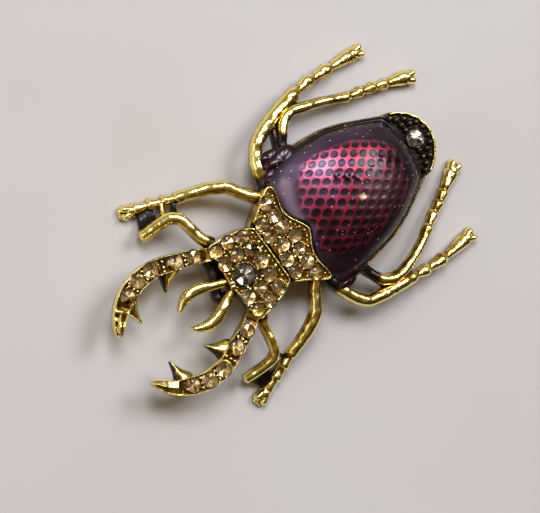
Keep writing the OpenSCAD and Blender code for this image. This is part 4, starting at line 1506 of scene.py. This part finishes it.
@dataclass
class Body:
    """Head, pronotum, wing-case cup and tail plate with their collars, rims and beads."""

    sizes: Sizes
    gold: bpy.types.Material

    # shares of half width and length: right halves, and the whole of the pronotum
    HEAD = (
        (0, -0.06), (0.72, -0.06), (0.87, 0.2), (0.95, 0.5), (0.99, 0.74), (1, 0.93), (0.84, 0.99),
        (0.6, 0.92), (0.28, 0.98), (0.13, 1), (0, 1.02))
    PRONOTUM = (
        (0.6, 1), (0.76, 0.69), (0.91, 0.45), (0.99, 0.28), (0.97, 0.17), (0.87, 0.16), (0.74, 0.19),
        (0.6, 0.25), (0.5, 0.265), (0.4, 0.25), (0.29, 0.21), (0.17, 0.13), (0.06, 0.06), (-0.05, 0.02),
        (-0.17, 0.08), (-0.29, 0.17), (-0.42, 0.235), (-0.56, 0.255), (-0.74, 0.24), (-0.88, 0.21),
        (-0.98, 0.22), (-1, 0.3), (-0.91, 0.45), (-0.76, 0.69), (-0.6, 1))
    CUP = (
        (0, 0.03), (0.22, 0.07), (0.44, 0.11), (0.72, 0.1), (0.85, 0.07), (0.95, 0.01), (1, -0.06),
        (0.985, -0.16), (0.96, -0.27), (0.93, -0.4), (0.89, -0.53), (0.79, -0.68), (0.65, -0.83),
        (0.52, -0.97), (0.3, -1), (0, -1.01))
    TAIL = (
        (0, 0.3), (1.02, 0.16), (1, -0.05), (0.91, -0.3), (0.71, -0.62), (0.45, -0.87), (0.2, -0.98),
        (0, -1.01))
    # lumps of metal left on the head: x, y, z
    NUGGETS = ((-0.3, 15.7, 7.25), (0.25, 15.5, 7.2), (2.2, 9.0, 7.2), (2.5, 9.4, 7.15), (1.8, 8.8, 7.1))
    TAIL_BEADS = (
        (0.34, -0.2), (0.53, -0.18), (0.72, -0.12), (0.86, 0.04), (0.42, -0.47), (0.61, -0.4),
        (0.34, -0.7), (0.13, -0.8))

    # depth of a set plate's floor under its rim
    floor: float = 0.28

    def set_relief(self, stones: Setting, top: float, groove_y: float = FAR_OFF) -> Relief:
        """Relief of a set plate: a rim along its edge, seats, and a collar round each stone.

        Args:
            stones: the plate's stones.
            top: the plate's height.
            groove_y: y from which the plate falls into a dark groove.

        Returns:
            A function that gives lift and polish at every point of the plate's top.
        """
        def relief(flat: Array, inset: Array) -> tuple[Array, Array]:
            """Lift and polish of the plate's top.

            Args:
                flat: x and y of its points.
                inset: their way in from the outline.

            Returns:
                Lift and polish at each point.
            """
            depth, collar, _ = stones.worked(flat, top)
            groove = smoothstep(groove_y, groove_y + 0.2, flat[..., 1])
            rim = falling(0.22, 0.34, inset) * (1 - groove)
            edge = falling(0.0, 0.1, inset)
            bevel = falling(0.3, 1.1, inset)
            raised = np.maximum(collar * (self.floor - 0.05), rim * (self.floor + 0.2))
            lift = -self.floor + raised - 0.1 * edge - 0.45 * groove
            worn = 0.4 + 0.24 * bevel + 0.35 * collar + 0.6 * rim - 0.15 * (depth > 0)
            return (np.where(depth > 0, np.minimum(lift, -depth), lift),
                    np.clip(worn * (1 - 0.95 * groove), 0, 1))

        return relief

    def cup_relief(self, flat: Array, inset: Array) -> tuple[Array, Array]:
        """Relief of the cup: a thin bright rim round the dark flange that the enamel covers.

        Args:
            flat: x and y of the top's points.
            inset: their way in from the outline.

        Returns:
            Lift and polish at each point.
        """
        rim = falling(0.16, 0.32, inset)
        edge = falling(0.0, 0.12, inset)
        return 0.2 * rim - 0.1 * edge - 0.1 * (1 - rim), np.clip(0.04 + 0.3 * rim, 0, 1)

    def tail_relief(self, flat: Array, inset: Array) -> tuple[Array, Array]:
        """Relief of the tail: a rim, a sunken dark field and a collar round its stone.

        Args:
            flat: x and y of the top's points.
            inset: their way in from the outline.

        Returns:
            Lift and polish at each point.
        """
        s = self.sizes
        stone_place, collar_r, collar_w, seat_r = 0.34, 1.6, 0.12, 1.4
        far = np.linalg.norm(flat - [0.0, -s.cup_len - stone_place * s.tail_len], axis=-1)
        collar = np.exp(-((far - collar_r) / collar_w) ** 2)
        behind = falling(-0.35, -0.1, flat[..., 1] + s.cup_len)
        rim = falling(0.32, 0.5, inset) * behind
        edge = falling(0.0, 0.12, inset)
        seat = 0.9 * falling(seat_r, seat_r + 0.15, far) * (1.1 - 0.36 * far)
        return (-0.3 + np.maximum(0.42 * collar, 0.55 * rim) - 0.1 * edge - seat,
                np.clip(0.02 + 0.25 * collar + 0.9 * rim, 0, 1))

    def build(self) -> None:
        """Makes the four plates, the setting beads and the tail's beads."""
        s = self.sizes
        head_set = Setting.of_nodes(["head_pave"], s.mid_y, Stones.spread).plus(
            Setting.of_nodes(["head_stone"], s.mid_y))
        pro_set = Setting.of_nodes(["pronotum_pave"], s.mid_y, Stones.spread)
        head_line = mirrored_outline(self.HEAD, s.head_w / 2, s.head_len, s.pronotum_len)
        pro_line = np.array(self.PRONOTUM) * [s.pronotum_w / 2, s.pronotum_len]
        cup_line = mirrored_outline(self.CUP, s.cup_w / 2, s.cup_len, 0.0)
        tail_line = mirrored_outline(self.TAIL, s.tail_w / 2, s.tail_len, -s.cup_len)
        plates = (
            Plate("head_plate", head_line, (0, s.pronotum_len + 0.5 * s.head_len), s.head_top,
                  self.set_relief(head_set, s.head_top), s, soft=0.4, rings=110, roof=1.95,
                  shaded_walls_from=s.pronotum_len + 0.86 * s.head_len),
            Plate("pronotum_plate", pro_line, (0, 0.5 * s.pronotum_len), s.pronotum_top,
                  self.set_relief(pro_set, s.pronotum_top, 0.885 * s.pronotum_len), s, rings=110),
            # the cup's walls are painted dark all round, as painted shade
            Plate("wing_cup", cup_line, (0, -0.44 * s.cup_len), s.flange_top, self.cup_relief, s, soft=0.5,
                  rings=70, roof=1.4, shaded_walls_from=-FAR_OFF),
            Plate("tail_plate", tail_line, (0, -s.cup_len - 0.3 * s.tail_len), s.flange_top + 0.5,
                  self.tail_relief, s, soft=0.3, rings=60))
        for plate in plates:
            plate.build(self.gold)
        sunk = 0.12
        beads = np.vstack([
            edge_spots(closed_line(head_line, 90, 0.35), head_set, head_set.bead_spots(s.head_top - sunk)),
            edge_spots(closed_line(pro_line, 110, 0.35), pro_set, pro_set.bead_spots(s.pronotum_top - sunk),
                       0.86 * s.pronotum_len)])
        # mostly small beads and a few big ones
        wide = 0.15 + 0.26 * np.random.default_rng(3).random(len(beads)) ** 2
        nuggets = dome_bead(np.array(self.NUGGETS), 0.5, 0.8, 1.0, 12, 6)
        cast_piece("setting_beads", Skin.joined([dome_bead(beads, wide, 0.7, 1.0), nuggets]), s, self.gold)
        half = np.array(self.TAIL_BEADS) * [s.tail_w / 2, s.tail_len] + [0.0, -s.cup_len]
        at = at_height(np.vstack([half, half * [-1.0, 1.0]]), s.flange_top + 0.42)
        cast_piece("tail_beads", dome_bead(at, 0.56, 0.02, 0.22, 14, 9), s, self.gold)


@dataclass
class Enamel:
    """The enamelled wing cases: one dome over a dimpled ground, flooded out to the cup's rim."""

    sizes: Sizes
    finish: bpy.types.Material
    rim: float = 0.34
    around: int = 620
    rings: int = 170
    flood_rings: int = 16
    cell_x: float = 1.06
    cell_y: float = 1.29
    cell_shift: float = 0.4
    cell_squash: float = 0.94
    cell_r: float = 0.7
    dimple: float = 0.12
    edge_h: float = 0.45
    edge_w: float = 0.9
    rise_lost: float = 0.15

    # right half from rear to front, as shares of half width and of length
    LINE = (
        (0, -0.98), (0.2, -0.975), (0.46, -0.94), (0.53, -0.91), (0.65, -0.8), (0.79, -0.67),
        (0.89, -0.53), (0.935, -0.41), (0.965, -0.29), (0.985, -0.18), (0.985, -0.08), (0.94, 0.0),
        (0.86, 0.07), (0.7, 0.1), (0.44, 0.105), (0.22, 0.08), (0, 0.0))
    # runs of enamel over the roots of the hind legs: x, y, top and half width
    RUNS = (
        (10.5, -2.9, 7.2, 2.0), (11.9, -1.6, 6.5, 1.3), (9.3, -0.2, 7.0, 1.5),
        (-10.0, -1.4, 7.0, 1.7), (-11.2, -0.2, 6.5, 1.2), (-9.6, -3.8, 6.7, 1.2))
    # dark places where the net is broken: x, y and spread
    HOLES = (
        (4.2, -7.4, 0.6), (3.0, -8.7, 0.75), (2.1, -9.9, 0.7), (1.4, -13.0, 0.5), (1.9, -15.0, 0.7),
        (0.7, -16.1, 0.6), (-0.3, -17.4, 0.5))

    @property
    def middle(self) -> Array:
        """Middle of the dome."""
        return np.array([0.0, -0.44 * self.sizes.cup_len])

    def reach(self, corners: Array, turn: Array, soft: float) -> Array:
        """How far an outline lies from the dome's middle at each angle.

        Args:
            corners: the outline's corners.
            turn: the angles.
            soft: how far its corners are rounded, in millimetres.

        Returns:
            One distance for each angle.
        """
        spoke = closed_line(corners, 1200, soft) - self.middle
        angle = np.arctan2(spoke[:, 1], spoke[:, 0])
        order = np.argsort(angle)
        return np.interp(turn, angle[order], np.linalg.norm(spoke, axis=1)[order], period=2 * np.pi)

    def skin(self) -> Skin:
        """Works out the dome and the flooded border as rings round the middle.

        A ring's plan blends from a rounded egg near the middle to the foot's
        outline at r = 1. Its height is edge * (1 - (1 - m / 0.9)^2)^0.5, m
        being the way in from the foot, plus rise * (1 - r^2.3)^0.62. Dimples
        lie on a diamond lattice whose x runs along the dome's curve.

        Returns:
            The enamel without its runs, with all its masks.
        """
        s = self.sizes
        turn = np.linspace(-np.pi, np.pi, self.around, endpoint=False)
        way = np.stack([np.cos(turn), np.sin(turn)], 1)
        foot, rim = self.borders(turn, way)
        egg = self.egg(way)
        share = np.sin(np.linspace(0.008, 1.0, self.rings) * np.pi / 2)[:, None] ** 0.9
        reach = share * (egg + (foot - egg) * share ** 6)
        out = np.linspace(0, 1, self.flood_rings + 1)[1:, None]
        plan = self.middle + way[None] * np.vstack([reach, foot + (rim - foot) * out])[..., None]
        margin = foot[None] * (1 - share)
        shoulder = self.edge_h * np.sqrt(1 - np.clip(1 - margin / self.edge_w, 0, 1) ** 2)
        dome = shoulder + (s.dome_rise - self.rise_lost) * np.clip(1 - share ** 2.3, 0, 1) ** 0.62
        swell = 0.26 * np.sin(np.pi * out) ** 0.7 * np.clip(rim - foot, 0, 1)
        pool = swell - 0.12 * smoothstep(0.8, 1.0, out)
        height = s.flange_top + 0.1 + np.vstack([dome, pool])
        net, depth, dip = self.cells(plan, np.vstack([margin, np.zeros((self.flood_rings, self.around))]))
        under = [self.middle + (plan[-1] - self.middle) * k for k in (1.0, 0.75, 0.3)]
        grid = np.concatenate([at_height(plan, height - dip), at_height(np.stack(under), s.flange_top - 0.2)])

        def whole(mask: Array) -> Array:
            """The mask with its last ring repeated for the three rings of the underside."""
            return np.concatenate([mask, np.repeat(mask[-1:], len(under), 0)])

        shape = closed_tube(grid, {"net": whole(net), "depth": whole(depth), "lit": whole(self.lit(plan))})
        vectors = {"gloss": (self.normals(at_height(plan, height)), [0, 0, 1]),
                   "marks": (self.marks(plan), [0, 0, 0])}
        for name, (values, pole) in vectors.items():
            shape.masks[name] = np.vstack([whole(values).reshape(-1, 3), [pole, pole]])
        return shape

    def borders(self, turn: Array, way: Array) -> tuple[Array, Array]:
        """The dome's foot and the flooded border's rim.

        Args:
            turn: angles round the dome's middle.
            way: the same as unit vectors.

        Returns:
            How far the foot and the rim lie from the middle at each angle.
        """
        s = self.sizes
        foot_line = mirrored_outline(self.LINE, s.cup_w / 2 - 0.6 * s.flange_w, s.cup_len, 0.0)
        rim_line = mirrored_outline(Body.CUP, s.cup_w / 2, s.cup_len, 0.0)
        foot = self.reach(foot_line, turn, 0.7)
        rim = self.reach(rim_line, turn, 0.5) - self.rim - 0.45 * smoothstep(0.1, 0.7, -way[:, 0])
        front = smoothstep(0.3, 0.75, way[:, 1])
        return foot, np.maximum(rim + (foot + 0.05 - rim) * front, foot + 0.02)

    def egg(self, way: Array) -> Array:
        """The rounded egg round the dome's middle: a superellipse, wider and squarer to the front.

        Args:
            way: unit vectors round the middle.

        Returns:
            How far it lies from the middle along each.
        """
        s = self.sizes
        x, y = way.T
        half_w = (0.44 + 0.05 * y) * s.cup_w
        half_l = (0.492 - 0.038 * y) * s.cup_len - 0.5 * smoothstep(0.3, 0.75, y)
        power = 2.0 + 0.7 * smoothstep(-0.2, 0.6, y)
        return (np.abs(x / half_w) ** power + np.abs(y / half_l) ** power) ** (-1 / power)

    def run(self, x: float, y: float, top: float, wide: float) -> Skin:
        """One run of enamel: an uneven flattened ball.

        Its radius is wide times 1 + 0.07 sin 3a sin f + 0.05 sin 4a sin 2f, a
        being the turn round it and f the fall from its top. It is 0.6 times
        as high as it is wide and 1.5 times as long.

        Args:
            x: its place across.
            y: its place along.
            top: height of its top.
            wide: half its width.

        Returns:
            The run with the enamel's masks.
        """
        long, high = 1.5, 0.6
        turn, fall = np.meshgrid(np.linspace(0, 2 * np.pi, 48, endpoint=False), np.linspace(0.05, 3.1, 30))
        lump = 0.07 * np.sin(3 * turn + x) * np.sin(fall) + 0.05 * np.sin(4 * turn + y) * np.sin(2 * fall)
        way = np.stack([np.sin(fall) * np.cos(turn), np.sin(fall) * np.sin(turn), np.cos(fall)], -1)
        grid = way * (wide * (1 + lump))[..., None] * [1, long, high] + [x, y, top - high * wide]
        blob = closed_tube(grid, {"net": 0 * turn, "depth": 0 * turn, "lit": 0 * turn})
        gloss = self.normals(grid)
        gloss *= np.sign((gloss * way).sum(-1, keepdims=True))
        blob.masks["gloss"] = np.vstack([gloss.reshape(-1, 3), [[0, 0, 1.0]], [[0, 0, -1.0]]])
        blob.masks["marks"] = 0 * blob.points + [0.6, 0, 0]
        return blob

    def cells(self, plan: Array, margin: Array) -> tuple[Array, Array, Array]:
        """Net of ridges, depth of colour and dimple depth.

        The lattice has a cell at every second crossing of lines cell_x and
        cell_y apart. x is lengthened on the slopes, so cells keep their size
        along the curve.

        Args:
            plan: x and y of the enamel's points.
            margin: their way in from the dome's foot.

        Returns:
            Three numbers for each point, the last one in millimetres.
        """
        x, y = plan[..., 0], plan[..., 1]
        curve_x = x * (1 + np.where(x > 0, 0.0022, 0.004) * x ** 2)
        near = np.full(x.shape, FAR_OFF)
        for shift in (0, 1):
            off_x = curve_x - shift * self.cell_x
            off_y = y + self.cell_shift - shift * self.cell_y
            off_x = off_x - 2 * self.cell_x * np.round(off_x / (2 * self.cell_x))
            off_y = off_y - 2 * self.cell_y * np.round(off_y / (2 * self.cell_y))
            near = np.minimum(near, np.hypot(off_x, self.cell_squash * off_y))
        uneven = 0.5 * np.sin(y * 0.8 + 0.6) + 0.3 * np.sin(x * 0.9)
        start = 0.4 + 0.35 * hill(plan, 6.8, -0.2, 3.0, 3.2) + 1.5 * smoothstep(0.5, 7.5, x)
        start = start + 1.5 * smoothstep(-12.5, -18.0, y) + 2.3 * smoothstep(-4.0, -9.5, x)
        inside = smoothstep(start, start + 0.9, margin + 0.3 * uneven)
        net = smoothstep(self.cell_r - 0.08, self.cell_r + 0.07, near)
        for hole_x, hole_y, wide in self.HOLES:
            net = net * smoothstep(0.55 * wide, wide, np.linalg.norm(plan - [hole_x, hole_y], axis=-1))
        depth = smoothstep(-0.2, start + 0.9, margin)
        dip = self.dimple * falling(0.25, self.cell_r + 0.12, near) * inside
        return net * inside, depth, dip

    def lit(self, plan: Array) -> Array:
        """Painted light on the enamel: most on the lit right front, a little at the rear, and a painted lilac
        sheen at the front tip.

        Args:
            plan: x and y of the enamel's points.

        Returns:
            A share from 0 to 1 at each point.
        """
        tip = np.exp(-((plan[..., 0] - 4.6) / 3.6) ** 2 - ((plan[..., 1] - 0.4) / 1.5) ** 4)
        return np.clip(0.05 + hill(plan, 5.4, -4.4, 5.0, 6.2) + 0.2 * hill(plan, 4.8, -14.0, 4.0, 5.0)
                       + 1.1 * tip, 0.0, 1.0)

    def marks(self, plan: Array) -> Array:
        """Torn places of the foil, a greyish haze behind the middle and a fleck of gold leaf.

        Args:
            plan: x and y of the enamel's points.

        Returns:
            The share of each of the three at every point.
        """
        leaf_x, leaf_y, leaf_half_w, leaf_half_l = -1.2, -8.9, 0.42, 0.5
        torn = np.zeros(plan.shape[:-1])
        for x, y, wide in self.HOLES:
            off = plan - [x, y]
            ragged = 1.1 + 0.25 * np.sin(4 * np.arctan2(off[..., 1], off[..., 0]) + x)
            torn = np.maximum(torn, np.exp(-(np.linalg.norm(off, axis=-1) / (wide * ragged)) ** 4))
        haze = 0.5 * hill(plan, -1.5, -12.2, 3.2, 3.4)
        past_x, past_y = np.moveaxis(np.abs(plan - [leaf_x, leaf_y]) - [leaf_half_w, leaf_half_l], -1, 0)
        return np.stack([torn, haze, falling(0.0, 0.12, np.maximum(past_x, past_y))], -1)

    @staticmethod
    def normals(grid: Array) -> Array:
        """Unit normals of a grid of rings, pointing up.

        Args:
            grid: the rings' points.

        Returns:
            One normal for each point.
        """
        tiny = 1e-9
        normal = np.cross(np.roll(grid, -1, 1) - np.roll(grid, 1, 1), np.gradient(grid, axis=0))
        normal /= np.linalg.norm(normal, axis=-1)[..., None] + tiny
        return normal * np.sign(normal[..., 2:] + tiny)

    def build(self) -> None:
        """Makes the enamel's piece with its runs."""
        whole = Skin.joined([self.skin()] + [self.run(*r) for r in self.RUNS])
        make_piece("wing_enamel", self.sizes.placed(whole), [self.finish], ["enamel_dome"])


@dataclass
class Stones:
    """Every set stone, cut and foiled."""

    champagne: tuple[bpy.types.Material, bpy.types.Material]
    grey: tuple[bpy.types.Material, bpy.types.Material]
    cut: StoneCut = field(default_factory=StoneCut)
    turn_step: float = 1.7
    spread: float = 1.2
    jaw_spread: float = 1.23

    def cut_field(self, node: str, finishes: tuple[bpy.types.Material, bpy.types.Material],
                  spread: float = 1.0, turn: float = 0.0) -> None:
        """Cuts every stone of a node in its place, each turned a little differently.

        Args:
            node: the node's name.
            finishes: the glass and the foil.
            spread: the drawn diameter as a share of the solid's.
            turn: how far the first stone is turned, in radians.
        """
        at, diameter = loose_stones(node)
        turns = turn + self.turn_step * np.arange(len(at))
        skin = self.cut.skin(at, np.full(len(at), diameter * spread), turns)
        make_piece(node + "_cut", skin, finishes, [node], smooth=False)

    def build(self) -> None:
        """Makes all stones."""
        for node, spread in (("head_stone", 1.0), ("tail_stone", self.spread)):
            self.cut_field(node, self.grey, spread, 0.3)
        for _, word in SIDES:
            for k in JAW_STONES:
                self.cut_field(f"mandible_stone_{word}_{k}", self.champagne,
                               self.jaw_spread, self.turn_step * k)
        for node in ("head_pave", "pronotum_pave"):
            self.cut_field(node, self.champagne, self.spread)


# Studio


def standing(right: Array, up: Array, back: Array, place: Array) -> Matrix:
    """World matrix of a camera or lamp, from its three directions and its place in millimetres."""
    return Matrix([*np.stack([right, up, back, place * MM], 1).tolist(), [0, 0, 0, 1]])


@dataclass
class Studio:
    """Pale floor, soft lights and the camera at the photograph's angle."""

    picture: tuple[int, int] = (540, 513)
    elevation: float = 72.0
    heading: tuple[float, float] = (0.604, 0.797)
    distance: float = 400.0
    # point of the frame at the picture's middle
    aim: tuple[float, float, float] = (-0.575, 5.80, 5.165)
    pixel_mm: float = 0.1575
    sensor: float = 36.0
    floor_half: float = 1500.0
    room: Stops = ((0.2, "#2E2414"), (0.45, "#685636"), (0.7, "#B09458"), (0.95, "#E4CC94"))
    room_light: float = 0.42

    def axes(self) -> tuple[Array, Array, Array]:
        """The picture's right, its up, and the way back to the camera.

        Returns:
            Three unit vectors in the frame.
        """
        plan = np.array([*self.heading, 0.0]) / np.linalg.norm(self.heading)
        tilt = np.radians(self.elevation)
        back = plan * np.cos(tilt) + np.array([0, 0, np.sin(tilt)])
        up = np.array([plan[1], -plan[0], 0.0])
        return np.cross(up, back), up, back

    def camera(self) -> None:
        """Sets the camera so that one pixel shows pixel_mm at the aim."""
        right, up, back = self.axes()
        data = bpy.data.cameras.new("camera")
        data.sensor_width = self.sensor
        data.lens = self.distance / self.pixel_mm / self.picture[0] * self.sensor
        data.clip_end = 10.0
        camera = bpy.data.objects.new("camera", data)
        camera.matrix_world = standing(right, up, back, np.array(self.aim) + back * self.distance)
        bpy.context.scene.collection.objects.link(camera)
        bpy.context.scene.camera = camera

    def light(self, name: str, left: float, high: float, near: float, size: float, watts: float,
              colour: str) -> None:
        """Adds a square soft light that looks at the brooch.

        Args:
            name: the light's name.
            left: how far to the picture's left it stands, in millimetres.
            high: how far towards the picture's top.
            near: how far above the floor.
            size: side of the square, in millimetres.
            watts: power.
            colour: hex colour of its light.
        """
        right, up, _ = self.axes()
        flat_right = np.array([right[0], right[1], 0]) / np.linalg.norm(right[:2])
        place = -flat_right * left + up * high + np.array([0, 0, near])
        data = bpy.data.lights.new(name, "AREA")
        data.shape = "SQUARE"
        data.size = size * MM
        data.energy = watts
        data.color = linear(colour)[:3]
        lamp = bpy.data.objects.new(name, data)
        back = unit(place)
        side = unit(np.cross([0, 0, 1.0], back))
        lamp.matrix_world = standing(side, np.cross(back, side), back, place)
        bpy.context.scene.collection.objects.link(lamp)

    def world(self) -> None:
        """Dim warm room round the brooch, lighter towards the window."""
        world = bpy.data.worlds.new("room")
        world.use_nodes = True
        world.node_tree.nodes.clear()
        add = partial(add_node, world.node_tree)
        right, up, _ = self.axes()
        window = unit(np.array([*(-0.4 * right[:2] + 0.65 * up[:2]), 0.55]))
        toward = add("VectorMath", {"operation": "DOT_PRODUCT", 1: tuple(window)},
                     {0: add("TexCoord").outputs["Generated"]}).outputs["Value"]
        share = add("MapRange", {1: -1.0, 2: 1.0}, {"Value": toward})
        colour = add("ValToRGB", {"stops": self.room}, {0: share})
        shade = add("Background", {"Strength": self.room_light}, {"Color": colour})
        add("OutputWorld", links={"Surface": shade})
        bpy.context.scene.world = world

    def floor(self, finish: bpy.types.Material) -> None:
        """Lays a wide floor under the feet.

        Args:
            finish: its material.
        """
        half = self.floor_half * MM
        corners = [(-half, -half, 0), (half, -half, 0), (half, half, 0), (-half, half, 0)]
        mesh = bpy.data.meshes.new("floor")
        mesh.from_pydata(corners, [], [(0, 1, 2, 3)])
        mesh.materials.append(finish)
        floor = bpy.data.objects.new("floor", mesh)
        bpy.context.scene.collection.objects.link(floor)

    def build(self) -> None:
        """Sets up camera, lights, room and floor."""
        bpy.context.scene.view_settings.view_transform = "Standard"
        self.camera()
        self.world()
        self.light("window", 190, 475, 840, 380, 6.4, "#E8EEFC")
        self.light("ceiling", -430, 400, 760, 380, 4.9, "#ECF0FA")
        self.light("room", 640, -40, 280, 420, 1.0, "#DEE4F6")
        self.floor(PaperFloor().build())


def main() -> None:
    """Builds every piece of the brooch, its finishes and the studio."""
    logging.basicConfig(level=logging.INFO, format="%(name)s: %(message)s")
    sizes = Sizes()
    gold = AntiqueGold().build()
    # each foil runs from painted dark facets through its middle colour to painted flashes of light
    champagne = (CutGlass("champagne glass, cut", "#F4E6D0").build(),
                 FoilBack("champagne foil", "#9E8264", "#E4C890", "#FFF4C6").build())
    grey = (CutGlass("clear glass, cut", "#EEE9E4").build(),
            FoilBack("silver foil", "#5C5652", "#A69E98", "#C6BEB6").build())
    Studio().build()
    Body(sizes, gold).build()
    Legs(sizes, gold).build()
    Jaws(sizes, gold).build()
    Enamel(sizes, WineEnamel().build()).build()
    Stones(champagne, grey).build()
    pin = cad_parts["brooch_pin"]
    pin.data.materials.clear()
    pin.data.materials.append(PlatedSteel().build())


if __name__ == "__main__":
    main()
